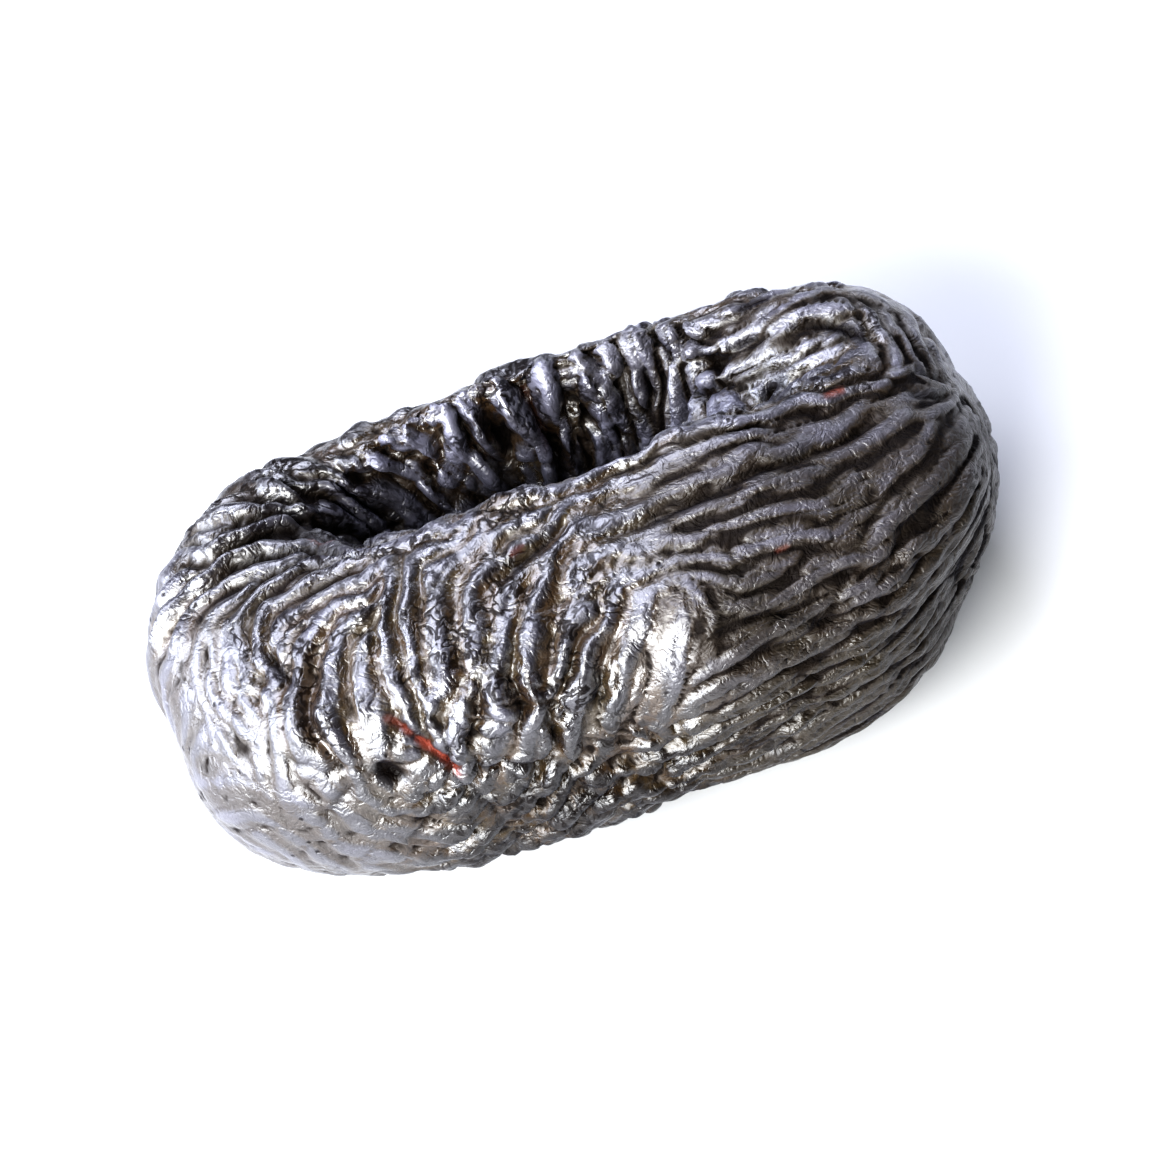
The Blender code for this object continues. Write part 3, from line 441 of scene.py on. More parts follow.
def line_waves(skin):
    """Wave patches along the lines. A row is centre, direction, wavelength, strength and phase."""
    rows = []
    for side, lines in ((SEEN, SEEN_LINES), (BEHIND, BEHIND_LINES), (BELOW, BELOW_LINES)):
        for wavelength, strength, phase, points in lines:
            c = rounded(skin.place(side, points), 0.3 * wavelength)
            along = unit(np.gradient(c, axis=0))
            rows += [(*a, *b, wavelength, strength, phase) for a, b in zip(c, along)]
    return np.array(rows)


def plain_wavelength(p, n):
    """Wavelength away from the lines: finer on the seen side and finest in the hollow."""
    seen = ramp(0.1, 0.5, n @ np.cross(SEEN[0], SEEN[1]))
    inside = ramp(0.2, -0.4, n[:, 1]) * hump(p[:, 1], 6.0, 3.0) * (p[:, 2] > -3.0)
    right = ramp(2.0, 6.0, p[:, 0]) * near_side(n)
    return 2.1 - 0.55 * seen - 0.25 * inside - 0.45 * right


def plain_strength(p, n):
    """Strength of the folds away from the lines: weak on the smooth left end, strong below."""
    x, y, z = p.T
    v, near = height_seen(p), near_side(n)
    lower_left = ramp(-7.0, -12.5, x) * ramp(-0.5, -4.0, v) * near * ramp(-0.85, -0.5, n[:, 2])
    left_end = ramp(-14.5, -17.0, x) * ramp(5.0, 3.0, v) * ramp(0.75, 0.3, n[:, 1])
    middle = np.exp(-(((x - 2.6) / 3.0) ** 2 + ((v + 3.2) / 2.6) ** 2)) * near
    far_rim = hump(z, 7.5, 2.5) * ramp(6.0, 8.0, y)
    right_half = ramp(2.0, 6.0, x) * near
    low = ramp(-2.5, -5.0, v) * ramp(4.0, 0.0, x) * near
    weak_right = (0.5 + 0.25 * hump(v, 0.0, 2.4)) * right_half
    return ((1.0 - 0.8 * lower_left) * (1.0 - 0.75 * left_end) * (1.0 + 0.5 * low)
            * (1.0 - 0.55 * middle) * (1.0 - weak_right) * (1.0 - 0.35 * ramp(15.5, 18.0, x))
            * (1.0 - 0.25 * far_rim))


def pleated(p):
    """Where the pleats gather at the left end of the hollow."""
    return np.exp(-(((p[:, 0] + 11.5) / 5.0) ** 2 + ((height_seen(p) - 6.2) / 2.8) ** 2))


def inner_wall(p, n):
    """The inner side of the far rim."""
    return ramp(0.1, -0.4, n[:, 1]) * ramp(1.5, 4.0, p[:, 1]) * ramp(9.5, 7.0, p[:, 0])


def broadness(p, n):
    """Share of broad folds with narrow creases, against narrow folds with broad valleys."""
    x, v, near = p[:, 0], height_seen(p), near_side(n)
    left = ramp(-8.0, -10.5, x) * ramp(4.5, 2.5, v)
    broad = np.maximum(np.maximum(left, ramp(-2.5, -4.5, v)), 0.9 * ramp(1.0, 4.0, x))
    away = ramp(-0.9, 0.9, drift(p, SEED + 52, 6.0))
    broad = near * (0.45 + 0.55 * broad) + (1.0 - near) * away
    return broad * (1.0 - pleated(p)) * (1.0 - 0.8 * inner_wall(p, n))


def drift(p, seed, size):
    """Slow random field over the form, a sum of sine waves."""
    rng = np.random.default_rng(seed)
    total = np.zeros(len(p))
    for _ in range(9):
        k = unit(rng.normal(size=3)) * 2.0 * math.pi / (size * rng.uniform(0.7, 1.5))
        total += np.sin(p @ k + rng.uniform(0.0, 2.0 * math.pi))
    return total / 2.1


def plain_direction(p, n, seed):
    """Fold direction away from the lines: along the body and wandering, but over the far rim."""
    along = unit(np.array((1.0, 0.0, 0.0)) - n * n[:, :1] + 1e-6)
    turn = 0.7 * drift(p, seed, 13.0) + 1.4 * ramp(1.0, 5.5, p[:, 2]) * ramp(1.5, 5.5, p[:, 1])
    return along * np.cos(turn)[:, None] + np.cross(n, along) * np.sin(turn)[:, None]


def free_waves(skin, lines, seed):
    """Wave patches between the lines, each turned the way the lines near it run."""
    rng = np.random.default_rng(seed)
    chance = 2700.0 / len(skin.p) / (0.3 * plain_wavelength(skin.p, skin.n) ** 2)
    keep = np.flatnonzero(rng.random(len(skin.p)) < chance)
    c, n = skin.p[keep], skin.n[keep]
    plain = plain_direction(c, n, seed + 1)
    line_n = skin.normal(lines[:, :3])
    direction, wavelength = np.empty_like(c), np.empty(len(c))
    for b in batches(len(c), 400):
        far2 = ((c[b, None] - lines[None, :, :3]) ** 2).sum(2)
        w = np.exp(-far2 / 4.5) * np.clip(n[b] @ line_n.T, 0.0, 1.0)
        spread = np.einsum("ij,jk,jl->ikl", w, lines[:, 3:6], lines[:, 3:6])
        spread += 0.06 * plain[b][:, :, None] * plain[b][:, None, :]
        spread -= 50.0 * n[b][:, :, None] * n[b][:, None, :]
        direction[b] = np.linalg.eigh(spread)[1][:, :, 2]
        plain_length = plain_wavelength(c[b], n[b])
        wavelength[b] = (w @ lines[:, 6] + 0.5 * plain_length) / (w.sum(1) + 0.5)
    phase = rng.uniform(-math.pi, math.pi, len(c))
    return np.column_stack((c, direction, wavelength, 0.6 * plain_strength(c, n), phase))


def run_on(waves, n, fixed, times=60):
    """Wave vectors, and phases turned until the waves run on from patch to patch."""
    tree = tree_of(waves[:, :3])
    pairs = [(i, j, d) for i, row in enumerate(waves)
             for _, j, d in tree.find_range(row[:3], 2.0 * FOLD_SPREAD * row[6]) if j != i]
    i, j, far = (np.array(a) for a in zip(*pairs))
    heading = unit(np.cross(n, waves[:, 3:6]))
    k = heading * (2.0 * math.pi / waves[:, 6])[:, None]
    match = (heading[i] * heading[j]).sum(1)
    w = np.exp(-far ** 2 / (2.0 * (FOLD_SPREAD * waves[j, 6]) ** 2)) * match ** 2
    w *= np.clip((n[i] * n[j]).sum(1), 0.0, 1.0) * np.where(j < fixed, LINE_WEIGHT, 1.0)
    run = (k[j] * (waves[i, :3] - waves[j, :3])).sum(1)
    phase = waves[:, 8].copy()
    for _ in range(times):
        a = np.sign(match) * (run + phase[j])
        re = np.bincount(i, weights=w * np.cos(a), minlength=len(n)) + 0.25 * np.cos(phase)
        im = np.bincount(i, weights=w * np.sin(a), minlength=len(n)) + 0.25 * np.sin(phase)
        phase[fixed:] = np.arctan2(im, re)[fixed:]
    return k, phase


def patches(p, n, waves, wave_n, k, phase, fixed):
    """For each wave patch, the points it reaches with its weight and angle there."""
    reach = 2.4 * FOLD_SPREAD * waves[:, 6]
    lo = np.searchsorted(p[:, 0], waves[:, 0] - reach)
    hi = np.searchsorted(p[:, 0], waves[:, 0] + reach)
    for a in range(len(waves)):
        d = p[lo[a]:hi[a]] - waves[a, :3]
        far2 = (d * d).sum(1)
        side = n[lo[a]:hi[a]] @ wave_n[a]
        hit = np.flatnonzero((far2 < reach[a] ** 2) & (side > 0.05))
        w = np.exp(-far2[hit] / (2.0 * (FOLD_SPREAD * waves[a, 6]) ** 2)) * side[hit]
        yield a, hit + lo[a], w * (LINE_WEIGHT if a < fixed else 1.0), d[hit] @ k[a] + phase[a]


def sum_waves(p, n, waves, wave_n, k, phase, fixed):
    """At each point the cosine of the summed waves, and what they are like there.

    Returns the cosine, the agreement, the wavelength, the strength and the heading.
    """
    p = p + np.stack([WIGGLE * drift(p, SEED + 40 + axis, 2.8) for axis in range(3)], 1)
    order = np.argsort(p[:, 0], kind="stable")
    count = len(p)
    held = list(patches(p[order], n[order], waves, wave_n, k, phase, fixed))
    heading = unit(k)
    spread = np.zeros((count, 3, 3))
    for a, hit, w, _ in held:
        spread[hit] += w[:, None, None] * np.outer(heading[a], heading[a])
    lead = np.linalg.eigh(spread)[1][:, :, 2]
    re, im, total, length, strength = np.zeros((5, count))
    for a, hit, w, angle in held:
        match = lead[hit] @ heading[a]
        re[hit] += w * match ** 2 * np.cos(angle)
        im[hit] += w * match * np.abs(match) * np.sin(angle)
        total[hit] += w
        length[hit] += w * waves[a, 6]
        strength[hit] += w * waves[a, 7]
    total = np.maximum(total, 1e-4)
    size = np.hypot(re, im)
    out, ahead = np.empty((4, count)), np.empty((count, 3))
    out[:, order] = re / np.maximum(size, 1e-6), size / total, length / total, strength / total
    ahead[order] = lead
    return *out, ahead


def knobs(p, skin):
    """Height of the single lumps at each point."""
    up = np.zeros(len(p))
    for height, radius, right, above in KNOBS:
        c = skin.place(SEEN, ((right, above),))[0]
        up += height * np.exp(-(((p - c) / radius) ** 2).sum(1))
    return up


def close_to(p, line, width):
    """The points near a line, and their squared distances from each of its points."""
    near = np.flatnonzero(((p > line.min(0) - 3 * width) & (p < line.max(0) + 3 * width)).all(1))
    return near, ((p[near][:, None] - line[None]) ** 2).sum(2)


def creases(p, skin):
    """Depth of the creases at each point."""
    cut = np.zeros(len(p))
    for depth, width, points in CREASES:
        c = rounded(skin.place(SEEN, points), 0.1)
        t = np.linspace(0.0, 1.0, len(c))
        near, far2 = close_to(p, c, width)
        j = far2.argmin(1)
        fade = np.sqrt(4.0 * t[j] * (1.0 - t[j]))
        shape = np.exp(-(np.sqrt(far2.min(1)) / width) ** 1.5)
        cut[near] = np.maximum(cut[near], depth * fade * shape)
    return cut


def marked(p, skin, kind):
    """Share of a mark's colour at each point."""
    share = np.zeros(len(p))
    for which, amount, width, points in MARKS:
        if which == kind:
            near, far2 = close_to(p, rounded(skin.place(SEEN, points), 0.08), width)
            tint = amount * np.exp(-(far2.min(1) / width ** 2) ** 1.5)
            share[near] = np.maximum(share[near], tint)
    return share


def folded(p, n, skin):
    """Raise the folds and cut the creases on the smooth form, and press the rest flat below.

    Returns the points, the direction along the folds, the crests, the strength of the folds and
    where the fruit rests.
    """
    lines = line_waves(skin)
    waves = np.vstack((lines, free_waves(skin, lines, SEED)))
    wave_n = skin.normal(waves[:, :3])
    k, phase = run_on(waves, wave_n, len(lines))
    crest, agree, length, strength, ahead = sum_waves(p, n, waves, wave_n, k, phase, len(lines))
    x, y, z = p.T
    rest = ramp(-6.5, -8.0, z) * np.exp(-((x / 5.6) ** 2 + (y / 3.6) ** 2) ** 2)
    up, broad = 0.5 + 0.5 * crest, broadness(p, n)
    shape = (1.0 - broad) * (up ** FOLD_SHARPNESS - 0.45) + broad * (0.38 - (1.0 - up) ** 2.5)
    loose = 1.15 + 0.25 * ramp(2.0, 6.0, x)
    uneven = 1.0 + loose * (0.42 * drift(p, SEED + 50, 3.2) + 0.32 * drift(p, SEED + 51, 1.8))
    uneven = np.clip(uneven, 0.1, 1.8)
    uneven *= 1.0 - 0.3 * ramp(0.2, 0.7, n[:, 1])
    uneven *= 1.0 - 0.45 * ramp(0.65, 0.95, n[:, 2]) * ramp(4.0, 6.5, z)
    pleats, wall = pleated(p), inner_wall(p, n)
    uneven = (1.0 + (uneven - 1.0) * (1.0 - 0.8 * pleats)) * (1.0 + 0.5 * pleats + 0.35 * wall)
    h = FOLD_HEIGHT * length * strength * shape * uneven * ramp(0.05, 0.5, agree)
    h = (h + LUMP_HEIGHT * drift(p, SEED + 66, 9.0)) * (1.0 - rest)
    h = h + knobs(p, skin) - creases(p, skin)
    q = p + n * h[:, None]
    q[:, 2] = np.maximum(q[:, 2], REST_LEVEL)
    return q, unit(np.cross(n, ahead)), 0.5 + 0.5 * crest * ramp(0.05, 0.5, agree), strength, rest


def grain(p, n, along, wavelength, reach, seed, count=700):
    """Random field of unit strength whose streaks run along the given direction."""
    rng = np.random.default_rng(seed)
    across = np.cross(n, along)
    turns = 2.0 * math.pi / wavelength
    k = unit(rng.normal(size=(count, 3))) * (turns / rng.uniform(0.7, 1.5, count))[:, None]
    phase = rng.uniform(0.0, 2.0 * math.pi, count)
    out = np.empty(len(p))
    for b in batches(len(p), 8000):
        w = np.exp(-0.5 * (reach * (along[b] @ k.T)) ** 2)
        w *= np.exp(-((np.abs(across[b] @ k.T) / turns - 1.0) / 0.45) ** 2)
        out[b] = (w * np.sin(p[b] @ k.T + phase)).sum(1) / np.sqrt(0.5 * (w * w).sum(1) + 1e-9)
    return out


def crumpled(field, softness):
    """Rounded lobes with sharp creases between them, 0 in a crease and 1 on a lobe."""
    return np.abs(field) / (np.abs(field) + softness) * (1.0 + 0.5 * softness)


def layer(p, n, along, kind):
    """One layer of fine wrinkles that runs along a direction."""
    wavelength, reach, softness, mean, seed = kind
    return crumpled(grain(p, n, along, wavelength, reach, seed), softness) - mean


def long_folds(p, n):
    """The right half, where the folds run long."""
    return ramp(1.0, 5.0, p[:, 0]) * near_side(n)


def fine_wrinkles(p, n, along, crest, calm, patchy):
    """Sum of the layers of fine wrinkles, each where the skin has it."""
    around = np.cross(n, along)
    turn = 0.5 * drift(p, SEED + 73, 3.5)[:, None]
    swept = along * np.cos(turn) + around * np.sin(turn)
    facets, lobes = layer(p, n, swept, FACETS), layer(p, n, swept, LOBES)
    lines, ribs = layer(p, n, along, LINES), layer(p, n, unit(along * 0.5 + around), RIBS)
    x, z, v = p[:, 0], p[:, 2], height_seen(p)
    long, low = long_folds(p, n), ramp(0.75, 0.25, crest)
    below = ramp(-2.5, -4.5, v) * ramp(-11.5, -9.0, x) * ramp(5.0, 1.0, x) * near_side(n)
    fine = (0.35 + 0.65 * patchy) * (1.0 - 0.6 * long) * lobes + (0.5 + 0.9 * long) * lines
    fine += 0.8 * (1.0 - 0.5 * long) * (0.1 + 0.9 * low) * (0.3 + 0.7 * patchy) * ribs
    fine += inner_wall(p, n) * ramp(7.0, 4.8, z) * (0.8 * lines + 0.5 * lobes)
    fine *= (1.0 - 0.65 * calm * (1.0 - long)) * (1.0 - 0.45 * ramp(4.5, 7.0, z))
    fine += (0.3 + 0.6 * calm + 0.9 * below) * (1.0 - 0.5 * long) * facets
    return fine * (1.0 - 0.5 * pleated(p))


def shares(p, n, skin, crest, calm, fine, patchy):
    """Values at the points that the finish reads, in the order of their names."""
    x, z, v = p[:, 0], p[:, 2], height_seen(p)
    near, long = near_side(n), long_folds(p, n)
    # the bloom is real dust and also painted light: it is laid lighter on the top, the left end,
    # the upper right lobe and the inner side of the far rim, where the light falls
    left = ramp(-8.0, -16.0, x) * ramp(-0.9, -0.4, n[:, 2])
    right_top = ramp(2.5, 5.5, x) * ramp(3.0, 4.6, v) * ramp(-2.0, 2.0, z)
    outer = np.maximum(0.45 * np.maximum(ramp(2.0, 7.5, z), left), 0.9 * right_top)
    bloom_and_painted_light = np.maximum(outer, inner_wall(p, n)) * (0.5 + 0.5 * patchy)
    # a painted highlight along the crest of the near rim joins the bloom
    bloom_and_painted_light = np.maximum(bloom_and_painted_light, marked(p, skin, "painted_highlight"))
    below = ramp(-4.5, -8.5, v) * ramp(-12.0, -7.0, x) * near
    dry = np.maximum(long * ramp(5.0, 3.5, v), below)
    gap = np.maximum(0.8 * long, pleated(p))
    fine = np.clip(0.6 + 0.6 * fine, 0.0, 1.0)
    crease = np.clip(creases(p, skin) / 0.35, 0.0, 1.0)
    # the dark share is painted shade at the pit by the red slit
    red, painted_pit_shade = marked(p, skin, "red"), marked(p, skin, "painted_pit_shade")
    return dict(zip(SHARES, (bloom_and_painted_light, long, dry, gap, crest, fine, calm, crease, red, painted_pit_shade)))


def wrinkled(p, n, quads, settings):
    """Folds with the fine wrinkles on them, and the values that the finish reads."""
    skin = Skin(p, n)
    q, along, crest, strength, rest = folded(p, n, skin)
    out = normals(q, quads)
    patchy = ramp(-0.9, 0.9, drift(p, SEED + 70, 4.5))
    folds = np.clip(strength, 0.0, 1.0)
    calm = 1.0 - folds
    fine = fine_wrinkles(p, n, along, crest, calm, patchy)
    h = settings.wrinkle_height * MM_PER_M * fine * (0.45 + 0.55 * folds) * (1.0 - rest)
    q = q + out * h[:, None]
    q[:, 2] = np.maximum(q[:, 2], REST_LEVEL)
    return q, shares(p, n, skin, crest, calm, fine, patchy)


def on_solid(p):
    """Metres, filling the box of the solid."""
    low, high = p.min(0), p.max(0)
    return CAD_LOW + (p - low) / (high - low) * (CAD_HIGH - CAD_LOW)


def node(tree, kind, inputs=None, **settings):
    """New node with its settings, and with its inputs linked or set."""
    made = tree.nodes.new(kind)
    for name, value in settings.items():
        setattr(made, name, value)
    for key, value in (inputs or {}).items():
        if isinstance(value, bpy.types.NodeSocket):
            tree.links.new(value, made.inputs[key])
        else:
            made.inputs[key].default_value = value
    return made


def sums(tree, operation, *values):
    """Output of a Math node."""
    return node(tree, "ShaderNodeMath", dict(enumerate(values)), operation=operation).outputs[0]


def span(tree, value, low, high, to_low, to_high):
    """Value moved smoothly from one span to another."""
    made = node(tree, "ShaderNodeMapRange", {0: value, 1: low, 2: high, 3: to_low, 4: to_high},
                interpolation_type="SMOOTHSTEP")
    return made.outputs[0]


def blend(tree, share, a, b):
    """Mix of two colours."""
    made = node(tree, "ShaderNodeMix", {0: share}, data_type="RGBA")
    for socket, value in ((made.inputs[6], a), (made.inputs[7], b)):
        if isinstance(value, bpy.types.NodeSocket):
            tree.links.new(value, socket)
        else:
            socket.default_value = value
    return made.outputs[2]


def noise(tree, vector, scale, detail=2.0, rough=0.5, output="Fac"):
    """Output of a Noise Texture node."""
    inputs = {"Vector": vector, "Scale": scale, "Detail": detail, "Roughness": rough}
    return node(tree, "ShaderNodeTexNoise", inputs).outputs[output]


def scaled(tree, vector, scale):
    """Coordinates times a scale on each axis."""
    return node(tree, "ShaderNodeMapping", {"Vector": vector, "Scale": scale}).outputs[0]


def new_material(name):
    """New material with its node tree and its shader."""
    mat = bpy.data.materials.new(name)
    mat.use_nodes = True
    return mat, mat.node_tree, mat.node_tree.nodes["Principled BSDF"]


def crinkle(tree, vector, scale, width):
    """Sharp creases where a noise crosses its middle: 0 in a crease and 1 away from it."""
    value = noise(tree, vector, scale, 2.0, 0.55)
    away = sums(tree, "ABSOLUTE", sums(tree, "SUBTRACT", value, 0.5))
    return span(tree, away, 0.0, width, 0.0, 1.0)


def pores(tree, mm):
    """Small round pores, each in the middle of a cell: 1 in a pore."""
    cells = node(tree, "ShaderNodeTexVoronoi", {"Vector": mm, "Scale": 1.0, "Randomness": 1.0})
    chosen = node(tree, "ShaderNodeSeparateColor", {0: cells.outputs["Color"]}).outputs[0]
    return sums(tree, "MULTIPLY", span(tree, cells.outputs["Distance"], 0.05, 0.17, 1.0, 0.0),
                sums(tree, "GREATER_THAN", chosen, 0.4))


def skin_patterns(tree):
    """Values of the finish by name: those at the points, and the patterns between the points."""
    at = {name: node(tree, "ShaderNodeAttribute", attribute_name=name).outputs["Fac"]
          for name in SHARES}
    mm = scaled(tree, node(tree, "ShaderNodeTexCoord").outputs["Object"], (MM_PER_M,) * 3)
    stir = noise(tree, mm, 0.9, 1.0, output="Color")
    warped = node(tree, "ShaderNodeVectorMath", {0: stir, 1: (0.9, 0.9, 0.9), 2: mm},
                  operation="MULTIPLY_ADD").outputs[0]
    # crinkles: wide ones, small ones, and ones drawn out along the fruit
    at["wide"] = crinkle(tree, warped, 1.4, 0.12)
    at["small"] = crinkle(tree, warped, 3.6, 0.12)
    at["drawn"] = crinkle(tree, scaled(tree, warped, (0.25, 1.0, 1.0)), 1.9, 0.11)
    at["pore"] = pores(tree, mm)
    at["speckle"] = noise(tree, mm, 11.0, 2.0, 0.6)
    at["mottle"] = noise(tree, mm, 0.32, 3.0, 0.6)
    at["cracked"] = span(tree, noise(tree, mm, 0.45), 0.4, 0.6, 0.2, 1.0)
    at["rough"] = span(tree, noise(tree, mm, 0.55), 0.3, 0.7, 0.19, 0.35)
    return at


def relief(tree, at):
    """Height of the crinkles, the speckle and the pores."""
    high = sums(tree, "MULTIPLY_ADD", at["wide"], 0.75, sums(tree, "MULTIPLY", at["small"], 0.22))
    high = sums(tree, "MULTIPLY_ADD", sums(tree, "MULTIPLY", at["drawn"], at["long"]), 0.6, high)
    high = sums(tree, "MULTIPLY_ADD", at["speckle"], 0.12, high)
    return sums(tree, "MULTIPLY_ADD", at["pore"], -1.2, high)


def sunken(tree, at):
    """Shares of the deep valleys, and of the creases, cracks and pores, which the finish fills with
    painted shade.
    """
    level = sums(tree, "MULTIPLY_ADD", at["crest"], 0.6, at["fine"])
    level = sums(tree, "MULTIPLY_ADD", at["gap"], -0.45, level)
    valley = span(tree, level, 0.3, 0.85, 0.95, 0.0)
    drawn = sums(tree, "MAXIMUM", at["drawn"], sums(tree, "SUBTRACT", 1.0, at["long"]))
    crack = span(tree, sums(tree, "MINIMUM", at["wide"], drawn), 0.0, 0.8, 0.85, 0.0)
    crack = sums(tree, "MULTIPLY", crack, at["cracked"])
    crack = sums(tree, "MULTIPLY", crack, span(tree, at["calm"], 0.1, 0.6, 1.0, 0.12))
    hole = sums(tree, "MAXIMUM", at["crease"], crack)
    return valley, sums(tree, "MAXIMUM", hole, sums(tree, "MULTIPLY", at["pore"], 0.8))


def skin_material(settings):
    mat, tree, shader = new_material("prune_skin")
    at = skin_patterns(tree)
    bump = node(tree, "ShaderNodeBump", {"Height": relief(tree, at), "Strength": 1.0,
                                         "Distance": settings.grain_depth})
    tree.links.new(bump.outputs[0], shader.inputs["Normal"])
    valley, hole = sunken(tree, at)

    # colour: brown and olive valleys, darker crests, lighter ones on the long folds, and a dusty
    # bloom on the raised skin that is also painted light on the top, the left end, the upper right
    # and the inner far wall, with a painted highlight along the near rim, then painted shade in the
    # valleys, creases, cracks and pores and at the pit by the red slit, and the few red flecks
    height = sums(tree, "MULTIPLY_ADD", at["fine"], 0.6, sums(tree, "MULTIPLY", at["crest"], 0.4))
    height = sums(tree, "MULTIPLY_ADD", at["speckle"], 0.3, sums(tree, "SUBTRACT", height, 0.15))
    raised = sums(tree, "MAXIMUM", span(tree, height, 0.3, 0.75, 0.0, 1.0),
                  sums(tree, "MULTIPLY", at["calm"], 0.85))
    low = blend(tree, span(tree, at["mottle"], 0.4, 0.65, 0.0, 1.0),
                tuple(settings.valley_colour), tuple(settings.olive_colour))
    high = blend(tree, at["long"], tuple(settings.crest_colour), tuple(settings.fold_colour))
    bloom_and_light_share = sums(tree, "MULTIPLY", at["bloom_and_painted_light"], span(tree, height, 0.5, 0.85, 0.0, 1.0))
    bloom_and_light_share = sums(tree, "MULTIPLY", bloom_and_light_share, span(tree, at["mottle"], 0.7, 0.35, 0.5, 1.0))
    colour = blend(tree, raised, low, high)
    # bloom colour: real dust, and painted light on the top, the left end, the upper right, the
    # inner far wall and the raised crests
    colour = blend(tree, bloom_and_light_share, colour, tuple(settings.bloom_and_painted_light_colour))
    # painted shade in the valleys, creases, cracks and pores
    colour = blend(tree, sums(tree, "MAXIMUM", hole, valley), colour, PAINTED_SHADE_COLOUR)
    # painted shade at the pit by the red slit
    colour = blend(tree, at["painted_pit_shade"], colour, PAINTED_SHADE_COLOUR)
    colour = blend(tree, at["red"], colour, tuple(settings.red_colour))
    tree.links.new(colour, shader.inputs["Base Color"])

    # gloss: shiny crests, duller valleys, creases and dust
    rough = sums(tree, "MULTIPLY_ADD", at["calm"], 0.1, at["rough"])
    rough = sums(tree, "MULTIPLY_ADD", at["speckle"], 0.09, rough)
    rough = sums(tree, "MULTIPLY_ADD", bloom_and_light_share, 0.15, rough)
    rough = sums(tree, "MULTIPLY_ADD", valley, 0.35, rough)
    tree.links.new(rough, shader.inputs["Roughness"])
    dull = sums(tree, "MAXIMUM", valley, hole)
    dull = sums(tree, "MAXIMUM", dull, sums(tree, "MULTIPLY", at["dry"], 0.55))
    tree.links.new(span(tree, dull, 0.0, 1.0, 0.9, 0.1), shader.inputs["Specular IOR Level"])
    tree.links.new(span(tree, dull, 0.0, 0.8, 0.5, 0.0), shader.inputs["Coat Weight"])
    shader.inputs["IOR"].default_value = 1.5
    shader.inputs["Coat Roughness"].default_value = 0.08
    shader.inputs["Coat IOR"].default_value = 1.5
    shader.inputs["Sheen Weight"].default_value = 0.02
    shader.inputs["Sheen Roughness"].default_value = 0.45
    shader.inputs["Sheen Tint"].default_value = (0.62, 0.68, 1.0, 1.0)
    return mat


def floor_material(colour):
    mat, tree, shader = new_material("pale_floor")
    cloud = noise(tree, node(tree, "ShaderNodeTexCoord").outputs["Object"], 6.0)
    paler = tuple(0.97 * c for c in colour[:3]) + (1.0,)
    tree.links.new(blend(tree, cloud, tuple(colour), paler), shader.inputs["Base Color"])
    shader.inputs["Roughness"].default_value = 0.7
    shader.inputs["Specular IOR Level"].default_value = 0.2
    return mat


def make_fruit(settings):
    """The prune's skin as one closed piece."""
    mesh = bpy.data.meshes.new("prune_body")
    s, quads = ball(mesh, DOUBLINGS)
    p = form(s)
    q, values = wrinkled(p, normals(p, quads), quads, settings)
    mesh.vertices.foreach_set("co", on_solid(q).astype(np.float32).ravel())
    for name, value in values.items():
        held = mesh.attributes.new(name, "FLOAT", "POINT")
        held.data.foreach_set("value", value.astype(np.float32))
    mesh.polygons.foreach_set("use_smooth", np.ones(len(mesh.polygons), bool))
    mesh.update()
    mesh.materials.append(skin_material(settings))
    fruit = bpy.data.objects.new("prune_body", mesh)
    bpy.context.scene.collection.objects.link(fruit)
    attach(fruit, "root")
    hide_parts("prune")
    return fruit


def view_axes(settings):
    """Right, up and back of the camera, in the frame of the prune."""
    low, roll = settings.view_elevation, settings.view_roll
    back = Vector((0.0, -math.cos(low), math.sin(low)))
    flat, rise = Vector((1.0, 0.0, 0.0)), Vector((0.0, math.sin(low), math.cos(low)))
    right = flat * math.cos(roll) - rise * math.sin(roll)
    return right, flat * math.sin(roll) + rise * math.cos(roll), back


def aimed(ob, place, target, up=None):
    """Put a camera or a light at a place, looking at a target."""
    back = (place - target).normalized()
    turn = back.to_track_quat("Z", "Y")
    if up is not None:
        right = up.cross(back).normalized()
        turn = Matrix((right, back.cross(right), back)).transposed().to_quaternion()
    ob.location = place
    ob.rotation_mode = "QUATERNION"
    ob.rotation_quaternion = turn
    bpy.context.scene.collection.objects.link(ob)


def add_camera(settings):
    lens = bpy.data.cameras.new("camera")
    camera = bpy.data.objects.new("camera", lens)
    right, up, back = view_axes(settings)
    middle = CAMERA_TARGET + right * settings.aim[0] + up * settings.aim[1]
    lens.sensor_width = SENSOR_WIDTH
    lens.lens = SENSOR_WIDTH * settings.view_distance / settings.view_width
    lens.clip_start, lens.clip_end = 0.01, 20.0
    aimed(camera, middle + back * settings.view_distance, middle, up)
    bpy.context.scene.camera = camera


def add_light(name, direction, distance, size, power, colour):
    """Softbox in a direction from the fruit."""
    light = bpy.data.lights.new(name, "AREA")
    light.shape = "RECTANGLE"
    light.size, light.size_y = size
    light.energy, light.color = power, colour
    ob = bpy.data.objects.new(name, light)
    aimed(ob, LIGHT_TARGET + Vector(direction).normalized() * distance, LIGHT_TARGET)
    ob.visible_camera = False


def add_floor(settings):
    mesh = bpy.data.meshes.new("floor")
    bm = bmesh.new()
    bmesh.ops.create_circle(bm, cap_ends=True, segments=96, radius=FLOOR_RADIUS)
    bm.to_mesh(mesh)
    bm.free()
    mesh.materials.append(floor_material(settings.floor_colour))
    floor = bpy.data.objects.new("floor", mesh)
    bpy.context.scene.collection.objects.link(floor)


def add_world(settings):
    world = bpy.data.worlds.new("studio")
    world.use_nodes = True
    shade = world.node_tree.nodes["Background"]
    shade.inputs["Color"].default_value = tuple(settings.sky_colour)
    shade.inputs["Strength"].default_value = settings.sky_strength
    bpy.context.scene.world = world
    bpy.context.scene.view_settings.view_transform = "Standard"
    bpy.context.scene.view_settings.look = "High Contrast"


